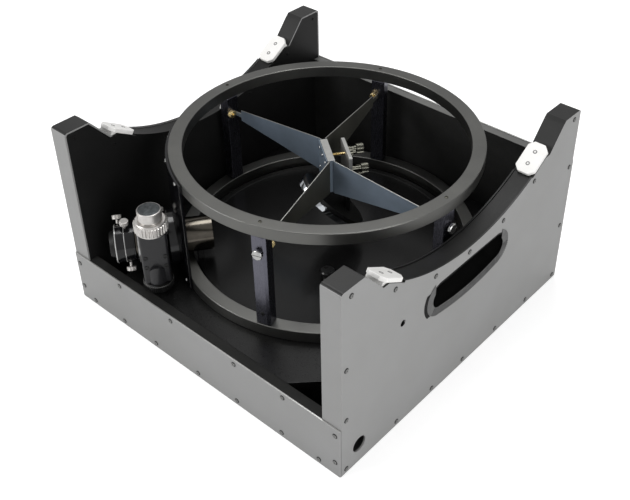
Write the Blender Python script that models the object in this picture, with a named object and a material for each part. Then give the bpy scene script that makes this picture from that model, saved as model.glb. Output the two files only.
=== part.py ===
"""Packed truss telescope: rocker box, mirror box and secondary cage in one carrying stack.

Units are metres, +Z is up and the origin is the middle of the rocker box's footprint.
The front of the box, with the low panel, faces -Y.
"""

import math

import bmesh
import bpy
from mathutils import Matrix, Vector

MM = 0.001
FIT = 0.3 * MM                      # gap between two pieces that touch

# Rocker box
BOX_W = 440.0 * MM                  # across the side walls
BOX_NARROWER = 6.8 * MM             # the box is this much shorter front to back
SKIN_Y = (BOX_W - BOX_NARROWER) / 2.0           # outer face of the front and back skins
HEAD_PROUD = 1.4 * MM               # screw heads stand this far out of a skin
BOX_H = 255.0 * MM                  # to the tips of the horns
WALL_T = 26.0 * MM
SHEET = 2.0 * MM
PANEL_SHEET = 1.8 * MM
FRONT_H = 71.5 * MM
FRONT_T = 14.6 * MM                 # skin and core together
BACK_H = 183.0 * MM
BACK_T = 13.6 * MM

# Cradle for the altitude bearings
CRADLE_R = 258.0 * MM
CRADLE_LOW_Z = 181.0 * MM           # lowest point of the bearing circle
CRADLE_Z = CRADLE_LOW_Z + CRADLE_R  # height of the bearing centre
HORN_TOP_L = 36.6 * MM              # level top of a horn
HORN_RUN = 28.0 * MM                # length in plan of a horn's inner slope
HORN_DROP = 8.0 * MM                # the slope ends this far below the bearing circle
HORN_FLAT_Y = SKIN_Y - HORN_TOP_L
HORN_FOOT_Y = HORN_FLAT_Y - HORN_RUN
HORN_FOOT_Z = CRADLE_Z - math.sqrt(CRADLE_R ** 2 - HORN_FOOT_Y ** 2) - HORN_DROP
PAD_PROUD = 4.0 * MM                # pads stand this far above the cradle
PAD_TOP_R = CRADLE_R - PAD_PROUD
PAD_T = 13.0 * MM
PAD_L = 41.0 * MM
PAD_INSET = 16.8 * MM               # from a horn's foot to the middle of its pad
PAD_ANGLE = math.asin((HORN_FOOT_Y - PAD_INSET) / CRADLE_R)
PAD_CHAMFER = 6.0 * MM
PAD_LIP = PAD_PROUD + 1.2 * MM      # full-width part of a pad; the rest is a key between skins
PAD_KEY_INSET = 4.0 * MM
STRIP_DEPTH = 8.0 * MM
STRIP_RECESS = 1.2 * MM

# Handle slot in each side wall
SLOT_HALF_L = 73.0 * MM
SLOT_BELOW = 16.0 * MM              # solid wall left between the slot and the cradle
SLOT_H = 45.0 * MM
SLOT_TOP_Z = CRADLE_LOW_Z - SLOT_BELOW
SLOT_BOTTOM_Z = SLOT_TOP_Z - SLOT_H
SLOT_SAG = 5.0 * MM                 # the slot's lower edge dips this much at its middle
SLOT_CORNER_R = 20.0 * MM
TRIM_T = 2.0 * MM
TRIM_LIP = 4.0 * MM
TRIM_PROUD = 1.5 * MM

# Floor of the box
PAN_BOTTOM_Z = 5.0 * MM
PAN_TOP_Z = 17.0 * MM
AZ_RING_RO = 152.0 * MM
AZ_RING_RI = 118.0 * MM
AZ_RING_Z = 1.2 * MM

# Cage rings
CAGE_X = 2.0 * MM
CAGE_Y = 12.0 * MM
CAGE_GAP = 5.0 * MM                 # between the rings and the right wall
RING_W = 16.5 * MM
RING_RO = BOX_W / 2.0 - WALL_T - CAGE_X - CAGE_GAP
RING_RI = RING_RO - RING_W

# Mirror box
MIRROR_BOX_GAP = 0.6 * MM           # to the walls and to the front panel
MIRROR_BOX_X = BOX_W / 2.0 - WALL_T - MIRROR_BOX_GAP
MIRROR_BOX_Y = SKIN_Y - FRONT_T - MIRROR_BOX_GAP
MIRROR_BOX_CUT = 61.5 * MM          # leg of each cut corner
MIRROR_BOX_TOP_Z = 69.5 * MM
MIRROR_BOX_WALL = 4.0 * MM
MOUTH_LEDGE = 10.5 * MM             # of the box's top inside the lower ring
MOUTH_R = RING_RI - MOUTH_LEDGE
FRAME_Z = 22.0 * MM
FRAME_T = 5.0 * MM
FRAME_HOLE_R = 60.0 * MM
SUPPORT_Z = 33.0 * MM
SUPPORT_T = 4.0 * MM
SUPPORT_R = 112.0 * MM
MIRROR_GAP = 7.5 * MM               # between the mirror's edge and the mouth
MIRROR_R = MOUTH_R - MIRROR_GAP
MIRROR_T = 25.0 * MM
BOLT_PCD_R = 95.0 * MM
BOLT_R = 3.7 * MM
BOLT_HEAD_R = 9.0 * MM
COVER_LAP = 6.0 * MM                # of the lid on the box's top
COVER_R = MOUTH_R + COVER_LAP
COVER_PLUG_R = MOUTH_R - 0.5 * MM
COVER_TOP_Z = 72.5 * MM
COVER_PLUG_Z = 64.0 * MM
PULL_XY = (52.0 * MM, -46.0 * MM)
PULL_R = 9.0 * MM
PULL_H = 11.5 * MM

# Secondary cage
RING_T = 15.0 * MM
RING_BEVEL = 1.0 * MM
UPPER_RING_TOP_Z = 225.0 * MM
LOWER_RING_Z = MIRROR_BOX_TOP_Z + FIT
RING_STEPS = 72
POST_W = 18.0 * MM
POST_RIDGE_Y = 5.0 * MM
POST_FACET = 1.6 * MM
SPIDER_AZ = math.radians(-37.0)     # long axis of the hub
POST_SPREAD = math.radians(34.5)    # posts stand this far either side of the hub's axis
HUB_HALF_L = 24.0 * MM
HUB_HALF_T = 4.5 * MM
HUB_TOP_Z = 206.0 * MM
HUB_H = 46.0 * MM
VANE_T = 1.5 * MM
VANE_TAB_L = 14.5 * MM
VANE_TIP_H = 15.0 * MM
VANE_TAB_H = 6.0 * MM
TENSION_Z = 188.0 * MM              # height of each vane's tension screw
CLAMP_R = 6.6 * MM
CLAMP_L = CAGE_GAP - 0.4 * MM       # so that the knobs clear the wall

# Secondary mirror and its adjuster
ROD_R = 2.5 * MM
ROD_L = 16.0 * MM
ROD_Z = HUB_TOP_Z - 8.0 * MM         # the plate tilts on the rod's end
PLATE_HALF_L = 23.5 * MM
PLATE_T = 4.5 * MM
ADJUST_R = 16.5 * MM                # round the middle of the plate
ADJUST_ANGLES = (7.0, 127.0, 247.0)
ADJUST_HEAD_R = 6.0 * MM
ADJUST_HEAD_L = 9.5 * MM
ADJUST_NECK_R = 4.0 * MM
ADJUST_NECK_L = 11.0 * MM
SECONDARY_MINOR = 35.0 * MM
SECONDARY_T = 7.0 * MM
SECONDARY_Z = UPPER_RING_TOP_Z - 100.0 * MM
HOLDER_T = 5.0 * MM
HOLDER_ARM_W = 20.0 * MM

# Focuser, in a frame whose +X runs out along the drawtube
FOCUS_Z = 106.5 * MM
MOUNT_PLATE_T = 3.0 * MM
MOUNT_HALF_ANGLE = math.radians(19.0)
MOUNT_WAIST_ANGLE = math.radians(13.0)
MOUNT_TOP_Z = 221.5 * MM
BODY_R = 27.0 * MM
BODY_END = RING_RO + 49.0 * MM
FLANGE_R = 35.0 * MM
FLANGE_END = RING_RO + 12.0 * MM
FLANGE_SUNK = 8.0 * MM              # depth of flange that is shaped away to the rings' curve
DRAWTUBE_R = 21.5 * MM
DRAWTUBE_BORE = 18.0 * MM
DRAWTUBE_IN = RING_RO - 42.0 * MM
SLIDE_FIT = 0.6 * MM
COLLAR_R = 24.0 * MM
COLLAR_L = 24.0 * MM
COLLAR_START = BODY_END + 2.0 * MM
COLLAR_END = COLLAR_START + COLLAR_L
PLUG_R = 15.8 * MM
PLUG_HEAD_R = 17.0 * MM
PLUG_END = COLLAR_END + 6.5 * MM
PINION_X = RING_RO + 29.0 * MM
PINION_Y = 46.0 * MM
BLOCK_X = (RING_RO + 13.0 * MM, RING_RO + 45.0 * MM)
BLOCK_Y = (20.0 * MM, 58.0 * MM)
BLOCK_Z = (85.8 * MM, 155.0 * MM)
COARSE_R = 20.0 * MM
COARSE_H = 16.0 * MM
FINE_R = 14.2 * MM
FINE_H = 14.5 * MM
LOWER_KNOB_R = 18.5 * MM
LOWER_KNOB_H = 12.6 * MM
PINION_R = 5.0 * MM
THUMB_HEAD_R = 5.2 * MM
THUMB_HEAD_L = 6.5 * MM
THUMB_STEM_R = 1.8 * MM
THUMB_STEM_L = 5.0 * MM
THUMBS = ((5.0, -35.0), (13.5, 4.0), (15.0, 150.0))     # mm from the collar's end, degrees from up
LOCK_X = RING_RO + 19.0 * MM
LOCK_ANGLE = -28.0

MATERIALS = {
    "powder_coat": ((0.19, 0.19, 0.19), 0.42, 0.3),
    "satin_black": ((0.012, 0.012, 0.012), 0.45, 0.0),
    "gloss_black": ((0.006, 0.006, 0.006), 0.12, 0.0),
    "charcoal_strip": ((0.035, 0.035, 0.035), 0.7, 0.0),
    "slick_pad": ((0.82, 0.82, 0.8), 0.4, 0.0),
    "rubber": ((0.015, 0.015, 0.015), 0.8, 0.0),
    "board": ((0.02, 0.02, 0.02), 0.6, 0.0),
    "laminate": ((0.3, 0.3, 0.3), 0.4, 0.0),
    "ring_satin": ((0.05, 0.05, 0.05), 0.45, 0.6),
    "vane_sheet": ((0.06, 0.07, 0.09), 0.35, 0.8),
    "hub_alloy": ((0.4, 0.4, 0.4), 0.35, 1.0),
    "brass": ((0.6, 0.42, 0.15), 0.25, 1.0),
    "bright_metal": ((0.8, 0.8, 0.8), 0.2, 1.0),
    "mirror_glass": ((0.7, 0.72, 0.75), 0.05, 1.0),
}


def clear_scene():
    """Remove every object of the scene."""
    for obj in list(bpy.data.objects):
        bpy.data.objects.remove(obj, do_unlink=True)


def material(name):
    """Return the named Principled material, making it on first use."""
    found = bpy.data.materials.get(name)
    if found is not None:
        return found
    colour, roughness, metallic = MATERIALS[name.split(".")[0]]
    made = bpy.data.materials.new(name)
    made.use_nodes = True
    shader = made.node_tree.nodes["Principled BSDF"]
    shader.inputs["Base Color"].default_value = (*colour, 1.0)
    shader.inputs["Roughness"].default_value = roughness
    shader.inputs["Metallic"].default_value = metallic
    return made


def make_object(name, bm, slot, parent=None, at=(0.0, 0.0, 0.0), turn=(0.0, 0.0, 0.0)):
    """Turn a bmesh into a named object with its own material."""
    bmesh.ops.recalc_face_normals(bm, faces=bm.faces)
    mesh = bpy.data.meshes.new(name)
    bm.to_mesh(mesh)
    bm.free()
    obj = bpy.data.objects.new(name, mesh)
    bpy.context.collection.objects.link(obj)
    mesh.materials.append(material(slot + "." + name))
    obj.parent = parent
    obj.location = at
    obj.rotation_euler = turn
    return obj


def empty(name, at, turn=(0.0, 0.0, 0.0), parent=None):
    """Make a guide frame that pieces are placed in."""
    obj = bpy.data.objects.new(name, None)
    bpy.context.collection.objects.link(obj)
    obj.location = at
    obj.rotation_euler = turn
    obj.parent = parent
    return obj


def prism(outline, axis, low, high):
    """Extrude a closed outline along X, Y or Z from low to high."""
    place = {
        "x": lambda a, b: Vector((low, a, b)),
        "y": lambda a, b: Vector((a, low, b)),
        "z": lambda a, b: Vector((a, b, low)),
    }[axis]
    along = {"x": Vector((1, 0, 0)), "y": Vector((0, 1, 0)), "z": Vector((0, 0, 1))}[axis]
    bm = bmesh.new()
    face = bm.faces.new([bm.verts.new(place(a, b)) for a, b in outline])
    grown = bmesh.ops.extrude_face_region(bm, geom=[face])
    tops = [item for item in grown["geom"] if isinstance(item, bmesh.types.BMVert)]
    bmesh.ops.translate(bm, verts=tops, vec=along * (high - low))
    return bm


def block(x, y, z):
    """Make a box from its three (low, high) pairs."""
    outline = [(x[0], y[0]), (x[1], y[0]), (x[1], y[1]), (x[0], y[1])]
    return prism(outline, "z", z[0], z[1])


def lathe(profile, steps=24, ring=False):
    """Spin an (radius, height) profile about Z; a ring's profile closes on itself."""
    bm = bmesh.new()
    verts = [bm.verts.new((r, 0.0, h)) for r, h in profile]
    edges = [bm.edges.new((a, b)) for a, b in zip(verts, verts[1:])]
    if ring:
        edges.append(bm.edges.new((verts[-1], verts[0])))
    bmesh.ops.spin(bm, geom=verts + edges, axis=(0, 0, 1), cent=(0, 0, 0),
                   steps=steps, angle=math.tau)
    bmesh.ops.remove_doubles(bm, verts=bm.verts, dist=1e-6)
    return bm


def rod(radius, low, high, steps=24):
    """Make a closed cylinder about Z."""
    return lathe([(0.0, low), (radius, low), (radius, high), (0.0, high)], steps)


def merged(*parts):
    """Put several bmeshes into one, for a cutter made of separate pieces."""
    result = bmesh.new()
    for part in parts:
        mesh = bpy.data.meshes.new("scratch")
        part.to_mesh(mesh)
        part.free()
        result.from_mesh(mesh)
        bpy.data.meshes.remove(mesh)
    return result


def moved(bm, vec=(0.0, 0.0, 0.0), turn=None):
    """Turn, then shift, a bmesh."""
    if turn is not None:
        bmesh.ops.transform(bm, matrix=turn, verts=bm.verts)
    bmesh.ops.translate(bm, verts=bm.verts, vec=Vector(vec))
    return bm


def along_x():
    """Matrix that lays a Z axis along +X."""
    return Matrix.Rotation(math.pi / 2.0, 4, "Y")


def boolean(obj, bm, operation="DIFFERENCE"):
    """Cut a bmesh, given in the object's own frame, from an object, or join it on."""
    bmesh.ops.recalc_face_normals(bm, faces=bm.faces)
    mesh = bpy.data.meshes.new(obj.name + "_tool")
    bm.to_mesh(mesh)
    bm.free()
    tool = bpy.data.objects.new("tool_" + obj.name + "_%d" % len(obj.modifiers), mesh)
    bpy.context.collection.objects.link(tool)
    tool.parent = obj
    tool.hide_render = True
    tool.display_type = "WIRE"
    step = obj.modifiers.new(operation.lower(), "BOOLEAN")
    step.operation = operation
    step.solver = "EXACT"
    step.object = tool
    return tool


def smooth(obj, angle=35.0):
    """Shade the round faces of a piece smooth."""
    obj.data.shade_smooth()
    obj.data.set_sharp_from_angle(angle=math.radians(angle))


def cradle_point(angle, radius):
    """Point of the bearing circle, as (y, z), at an angle from straight down."""
    return radius * math.sin(angle), CRADLE_Z - radius * math.cos(angle)


def pad_seat(grow, inset, depth):
    """Outline of part of a pad, as (y, z): its ends moved in by inset, depth deep, then grown."""
    half = PAD_L / 2.0 - inset + grow
    outer_r = PAD_TOP_R + depth + grow
    inner_r = PAD_TOP_R - grow
    along = Vector((math.cos(PAD_ANGLE), math.sin(PAD_ANGLE)))
    down = Vector((math.sin(PAD_ANGLE), -math.cos(PAD_ANGLE)))
    centre = Vector((0.0, CRADLE_Z))
    corners = [
        centre + down * outer_r - along * half,
        centre + down * outer_r + along * half,
        centre + down * inner_r + along * half,
        centre + down * inner_r - along * half,
    ]
    return [(c.x, c.y) for c in corners]


def rim_end():
    """Outline, as (y, z), of what the liner leaves clear where a horn's rim ends."""
    slope = math.atan2(BOX_H - HORN_FOOT_Z, HORN_RUN)
    near = HORN_FOOT_Y + (SHEET + FIT) / math.sin(slope)
    rise = 1.5 * SHEET
    back = HORN_FOOT_Y - SHEET
    return [(back, HORN_FOOT_Z - FIT), (near, HORN_FOOT_Z - FIT),
            (near + rise / math.tan(slope), HORN_FOOT_Z + rise), (back, HORN_FOOT_Z + rise)]


def wall_outline(inset=0.0, arc_r=CRADLE_R, steps=18):
    """Outline of a side wall as (y, z), its straight edges moved in by inset."""
    end = SKIN_Y - PANEL_SHEET - FIT - inset
    top = BOX_H - inset
    foot_a = math.asin(HORN_FOOT_Y / CRADLE_R)
    slope = math.atan2(BOX_H - HORN_FOOT_Z, HORN_FLAT_Y - HORN_FOOT_Y)
    shift = inset / math.sin(slope) - inset / math.tan(slope)
    flat = HORN_FLAT_Y + shift
    foot = HORN_FOOT_Y + inset / math.sin(slope)
    points = [(-end, inset), (end, inset), (end, top), (flat, top), (foot, HORN_FOOT_Z)]
    reach = foot_a - 0.012
    for i in range(steps + 1):
        points.append(cradle_point(reach - 2.0 * reach * i / steps, arc_r))
    points += [(-foot, HORN_FOOT_Z), (-flat, top), (-end, top)]
    return points


def slot_outline(grow=0.0):
    """Outline of the handle slot as (y, z), larger all round by grow."""
    points = []
    half = SLOT_HALF_L
    radius = SLOT_CORNER_R
    corners = (
        (half - radius, SLOT_TOP_Z - radius, 90.0),
        (-(half - radius), SLOT_TOP_Z - radius, 180.0),
        (-(half - radius), SLOT_BOTTOM_Z + SLOT_SAG + radius, 270.0),
        (half - radius, SLOT_BOTTOM_Z + SLOT_SAG + radius, 360.0),
    )
    for number, (cy, cz, stop) in enumerate(corners):
        for i in range(6):
            angle = math.radians(stop - 90.0 + 18.0 * i)
            points.append((cy + (radius + grow) * math.cos(angle),
                           cz + (radius + grow) * math.sin(angle)))
        if number == 2:
            for i in range(1, 6):
                t = i / 6.0
                y = (2.0 * t - 1.0) * (half - radius)
                sag = SLOT_SAG * math.sin(math.pi * t)
                points.append((y, SLOT_BOTTOM_Z + SLOT_SAG - sag - grow))
    return points


def side_wall(side, sign):
    """Skin, liner, cradle strip, pads and handle trim of one side wall."""
    mirror = Matrix.Scale(sign, 4, (1, 0, 0))
    out = BOX_W / 2.0
    inn = out - WALL_T

    def finish(bm):
        """Mirror a right-hand piece to this side."""
        bmesh.ops.transform(bm, matrix=mirror, verts=bm.verts)
        return bm

    shell = make_object(side + "_wall_shell", finish(prism(wall_outline(), "x", inn, out)),
                        "powder_coat")
    hollow = wall_outline(SHEET, CRADLE_R - 30.0 * MM)
    boolean(shell, finish(prism(hollow, "x", inn - 5.0 * MM, out - SHEET)))
    boolean(shell, finish(prism(slot_outline(), "x", out - 6.0 * MM, out + 6.0 * MM)))

    liner = make_object(side + "_wall_liner",
                        finish(prism(wall_outline(SHEET + FIT), "x", inn, inn + SHEET)),
                        "satin_black")

    low = CRADLE_R + STRIP_RECESS
    span = math.asin(HORN_FOOT_Y / CRADLE_R) - 0.03
    steps = 18
    angles = [span - 2.0 * span * i / steps for i in range(steps + 1)]
    strip_outline = [cradle_point(a, low) for a in angles]
    strip_outline += [cradle_point(a, low + STRIP_DEPTH) for a in reversed(angles)]
    strip = make_object(side + "_cradle_strip",
                        finish(prism(strip_outline, "x", inn + SHEET + FIT, out - SHEET - FIT)),
                        "charcoal_strip")

    for turn, place in ((1.0, "back"), (-1.0, "front")):
        seat = [(turn * y, z) for y, z in pad_seat(FIT, 0.0, PAD_LIP)]
        for piece in (shell, liner, strip):
            boolean(piece, finish(prism(seat, "x", inn - 5.0 * MM, out + 5.0 * MM)))
        seat = [(turn * y, z) for y, z in pad_seat(FIT, PAD_KEY_INSET, PAD_T)]
        for piece in (shell, strip):
            boolean(piece, finish(prism(seat, "x", inn + SHEET, out - SHEET)))
        foot = [(turn * y, z) for y, z in rim_end()]
        boolean(liner, finish(prism(foot, "x", inn - 5.0 * MM, inn + SHEET + FIT)))
        bearing_pad(side, place, turn, sign)

    handle_trim(side, finish, inn, out)


def bearing_pad(side, place, turn, sign):
    """One low-friction pad: a chamfered plate across the wall with a key between its skins."""
    half_l = PAD_L / 2.0
    half_w = WALL_T / 2.0 - 0.2 * MM
    cut = PAD_CHAMFER
    outline = [
        (-half_w + cut, -half_l), (half_w - cut, -half_l), (half_w, -half_l + cut),
        (half_w, half_l - cut), (half_w - cut, half_l), (-half_w + cut, half_l),
        (-half_w, half_l - cut), (-half_w, -half_l + cut),
    ]
    y, z = cradle_point(PAD_ANGLE, PAD_TOP_R)
    pad = make_object("%s_%s_pad" % (side, place), prism(outline, "z", -PAD_LIP, 0.0),
                      "slick_pad", at=(sign * (BOX_W / 2.0 - WALL_T / 2.0), turn * y, z),
                      turn=(turn * PAD_ANGLE, 0.0, 0.0))
    key_w = WALL_T / 2.0 - SHEET - 2.0 * FIT
    key_l = half_l - PAD_KEY_INSET
    boolean(pad, block((-key_w, key_w), (-key_l, key_l), (-PAD_T, -PAD_LIP / 2.0)), "UNION")


def handle_trim(side, finish, inn, out):
    """Rubber lining of the handle slot: a sleeve with an outer lip."""
    section = (
        (-TRIM_T - FIT, inn + SHEET + FIT), (-TRIM_T - FIT, out + TRIM_PROUD),
        (TRIM_LIP, out + TRIM_PROUD), (TRIM_LIP, out + FIT),
        (-FIT, out + FIT), (-FIT, inn + SHEET + FIT),
    )
    bm = bmesh.new()
    loops = []
    for grow, x in section:
        loops.append([bm.verts.new((x, y, z)) for y, z in slot_outline(grow)])
    count = len(loops[0])
    for a, b in zip(loops, loops[1:] + loops[:1]):
        for i in range(count):
            j = (i + 1) % count
            bm.faces.new((a[i], a[j], b[j], b[i]))
    make_object(side + "_handle_trim", finish(bm), "rubber")


def heads(points, height, face_y, sign):
    """Low screw heads on a skin, placed by shares of the half width and of the height."""
    parts = []
    for across, up in points:
        x = across * BOX_W / 2.0
        z = up * height
        bm = rod(3.0 * MM, -0.6 * MM, HEAD_PROUD, 8)
        turn = Matrix.Rotation(-sign * math.pi / 2.0, 4, "X")
        parts.append(moved(bm, (x, face_y, z), turn))
    return merged(*parts)


def panels():
    """Front and back panels, each a skin with its screw heads on a core."""
    half = BOX_W / 2.0
    inner = half - WALL_T - FIT
    front_heads = [(x, 0.904) for x in (-0.605, -0.182, 0.295, 0.632)]
    front_heads += [(-0.968, 0.797), (0.968, 0.853), (-0.968, 0.28), (0.968, 0.28)]
    front_heads += [(x, 0.091) for x in (-0.877, -0.614, -0.341, 0.0, 0.295, 0.614, 0.864)]
    skin = make_object("front_panel_skin",
                       block((-half, half), (-SKIN_Y, -SKIN_Y + PANEL_SHEET), (0.0, FRONT_H)),
                       "powder_coat")
    boolean(skin, heads(front_heads, FRONT_H, -SKIN_Y, -1.0), "UNION")
    make_object("front_panel_core",
                block((-inner, inner), (-SKIN_Y + PANEL_SHEET + FIT, -SKIN_Y + FRONT_T),
                      (0.0, FRONT_H - 0.6 * MM)), "board")
    back_heads = [(x, 0.962) for x in (-0.605, -0.295, 0.0, 0.295, 0.605)]
    back_heads += [(side * 0.968, z) for side in (-1, 1) for z in (0.11, 0.383, 0.656, 0.918)]
    back_heads += [(x, 0.036) for x in (-0.864, -0.614, -0.341, 0.0, 0.341, 0.614, 0.864)]
    skin = make_object("back_panel_skin",
                       block((-half, half), (SKIN_Y - PANEL_SHEET, SKIN_Y), (0.0, BACK_H)),
                       "powder_coat")
    boolean(skin, heads(back_heads, BACK_H, SKIN_Y, 1.0), "UNION")
    make_object("back_panel_core",
                block((-inner, inner), (SKIN_Y - BACK_T, SKIN_Y - PANEL_SHEET - FIT),
                      (0.0, BACK_H - 0.6 * MM)), "board")


def floor_of_box():
    """Bottom pan between the walls and the azimuth bearing ring under it."""
    inner = BOX_W / 2.0 - WALL_T - FIT
    make_object("bottom_pan",
                block((-inner, inner), (-SKIN_Y + FRONT_T + FIT, SKIN_Y - BACK_T - FIT),
                      (PAN_BOTTOM_Z, PAN_TOP_Z)), "board")
    bm = lathe([(AZ_RING_RI, AZ_RING_Z), (AZ_RING_RO, AZ_RING_Z),
                (AZ_RING_RO, PAN_BOTTOM_Z - FIT), (AZ_RING_RI, PAN_BOTTOM_Z - FIT)], 48, True)
    make_object("azimuth_ring", bm, "laminate")


def octagon(inset):
    """Outline of the mirror box, moved in by inset."""
    x = MIRROR_BOX_X - inset
    y = MIRROR_BOX_Y - inset
    cut = MIRROR_BOX_CUT - inset * (2.0 - math.sqrt(2.0))
    return [(x - cut, -y), (x, -y + cut), (x, y - cut), (x - cut, y),
            (-x + cut, y), (-x, y - cut), (-x, -y + cut), (-x + cut, -y)]


def mirror_box():
    """Mirror box with its cell, mirror, adjusting bolts and lid."""
    bottom = PAN_TOP_Z + FIT
    shell = make_object("mirror_box_shell",
                        prism(octagon(0.0), "z", bottom, MIRROR_BOX_TOP_Z), "satin_black")
    boolean(shell, prism(octagon(MIRROR_BOX_WALL), "z", 0.0, MIRROR_BOX_TOP_Z - MIRROR_BOX_WALL))
    mouth = rod(MOUTH_R, MIRROR_BOX_TOP_Z - 20.0 * MM, MIRROR_BOX_TOP_Z + 20.0 * MM, 64)
    boolean(shell, moved(mouth, (CAGE_X, CAGE_Y, 0.0)))

    frame = make_object("cell_frame",
                        prism(octagon(MIRROR_BOX_WALL + FIT), "z", FRAME_Z, FRAME_Z + FRAME_T),
                        "satin_black")
    holes = [moved(rod(FRAME_HOLE_R, -1.0 * MM, 50.0 * MM, 32), (CAGE_X, CAGE_Y, 0.0))]
    places = []
    for number in range(3):
        angle = math.radians(-90.0 + 120.0 * number)
        places.append((CAGE_X + BOLT_PCD_R * math.cos(angle),
                       CAGE_Y + BOLT_PCD_R * math.sin(angle)))
    for x, y in places:
        holes.append(moved(rod(BOLT_R + 0.6 * MM, -1.0 * MM, 50.0 * MM, 12), (x, y, 0.0)))
    boolean(frame, merged(*holes))

    for number, (x, y) in enumerate(places):
        low = bottom + 0.4 * MM
        under = FRAME_Z - FIT
        top = SUPPORT_Z - FIT
        bm = lathe([(0.0, low), (BOLT_HEAD_R, low), (BOLT_HEAD_R, under), (BOLT_R, under),
                    (BOLT_R, top), (0.0, top)], 16)
        smooth(make_object("collimation_bolt_%d" % (number + 1), bm, "bright_metal",
                           at=(x, y, 0.0)))

    smooth(make_object("mirror_support", rod(SUPPORT_R, SUPPORT_Z, SUPPORT_Z + SUPPORT_T, 36),
                       "satin_black", at=(CAGE_X, CAGE_Y, 0.0)))
    glass = SUPPORT_Z + SUPPORT_T + FIT
    smooth(make_object("primary_mirror", rod(MIRROR_R, glass, glass + MIRROR_T, 48),
                       "mirror_glass", at=(CAGE_X, CAGE_Y, 0.0)))

    seat = MIRROR_BOX_TOP_Z + FIT
    bm = lathe([(0.0, COVER_PLUG_Z), (COVER_PLUG_R, COVER_PLUG_Z), (COVER_PLUG_R, seat),
                (COVER_R, seat), (COVER_R, COVER_TOP_Z), (0.0, COVER_TOP_Z)], 64)
    cover = make_object("mirror_cover", bm, "gloss_black", at=(CAGE_X, CAGE_Y, 0.0))
    smooth(cover)
    pull = lathe([(0.0, COVER_TOP_Z - 1.0 * MM), (0.6 * PULL_R, COVER_TOP_Z - 1.0 * MM),
                  (0.6 * PULL_R, COVER_TOP_Z + 0.45 * PULL_H),
                  (PULL_R, COVER_TOP_Z + 0.6 * PULL_H), (PULL_R, COVER_TOP_Z + PULL_H),
                  (0.0, COVER_TOP_Z + PULL_H)], 16)
    boolean(cover, moved(pull, (PULL_XY[0] - CAGE_X, PULL_XY[1] - CAGE_Y, 0.0)), "UNION")


def ring_profile(low, high):
    """Section of a cage ring with its outer edges broken."""
    cut = RING_BEVEL
    return [(RING_RI, low), (RING_RO - cut, low), (RING_RO, low + cut), (RING_RO, high - cut),
            (RING_RO - cut, high), (RING_RI, high)]


def cage():
    """Rings, posts, spider vanes, hub and the tension screws."""
    top = UPPER_RING_TOP_Z - RING_T
    frame = empty("cage_frame", (CAGE_X, CAGE_Y, 0.0))
    spider = empty("spider_frame", (0.0, 0.0, 0.0), (0.0, 0.0, SPIDER_AZ), frame)
    smooth(make_object("upper_ring",
                       lathe(ring_profile(top, UPPER_RING_TOP_Z), RING_STEPS, True),
                       "ring_satin", frame))
    lower_top = LOWER_RING_Z + RING_T
    smooth(make_object("lower_ring",
                       lathe(ring_profile(LOWER_RING_Z, lower_top), RING_STEPS, True),
                       "ring_satin", frame))

    half = POST_W / 2.0
    outer = math.sqrt((RING_RO - 0.3 * MM) ** 2 - half ** 2)
    outline = [(RING_RI + 0.4 * MM, -half), (outer - POST_FACET, -half),
               (RING_RO - 0.5 * MM, POST_RIDGE_Y), (outer - POST_FACET, half),
               (RING_RI + 0.4 * MM, half)]
    azimuths = (-POST_SPREAD, POST_SPREAD, math.pi - POST_SPREAD, math.pi + POST_SPREAD)
    for number, azimuth in enumerate(azimuths):
        make_object("post_%d" % (number + 1), prism(outline, "z", lower_top + FIT, top - FIT),
                    "satin_black", spider, turn=(0.0, 0.0, azimuth))
        bm = lathe([(0.0, 0.0), (0.7 * CLAMP_R, 0.0), (CLAMP_R, 1.5 * MM), (CLAMP_R, CLAMP_L),
                    (0.0, CLAMP_L)], 16)
        bmesh.ops.transform(bm, matrix=along_x(), verts=bm.verts)
        spot = Matrix.Rotation(azimuth, 4, "Z") @ Vector((RING_RO, 0.0, TENSION_Z))
        smooth(make_object("clamp_knob_%d" % (number + 1), bm, "bright_metal", spider,
                           at=spot, turn=(0.0, 0.0, azimuth)))
        vane(number, azimuth, spider)

    make_object("spider_hub",
                block((-HUB_HALF_L, HUB_HALF_L), (-HUB_HALF_T, HUB_HALF_T),
                      (HUB_TOP_Z - HUB_H, HUB_TOP_Z)), "hub_alloy", spider)
    secondary(spider)


def vane(number, azimuth, spider):
    """One tapered spider vane from the hub's end to a post."""
    side = 1.0 if math.cos(azimuth) > 0.0 else -1.0
    lean = 1.0 if math.sin(azimuth) > 0.0 else -1.0
    start = Vector((side * (HUB_HALF_L + 1.2 * MM), lean * (HUB_HALF_T - 2.0 * MM)))
    tip = Vector((math.cos(azimuth), math.sin(azimuth))) * (RING_RI + 0.1 * MM)
    run = tip - start
    length = run.length
    taper = length - VANE_TAB_L
    tab = VANE_TAB_H / 2.0
    end = VANE_TIP_H / 2.0
    outline = [
        (0.0, HUB_TOP_Z - HUB_H), (taper, TENSION_Z - end), (taper, TENSION_Z - tab),
        (length, TENSION_Z - tab), (length, TENSION_Z + tab), (taper, TENSION_Z + tab),
        (taper, TENSION_Z + end), (0.0, HUB_TOP_Z),
    ]
    make_object("vane_%d" % (number + 1), prism(outline, "y", -VANE_T / 2.0, VANE_T / 2.0),
                "vane_sheet", spider, at=(start.x, start.y, 0.0),
                turn=(0.0, 0.0, math.atan2(run.y, run.x)))


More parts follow.
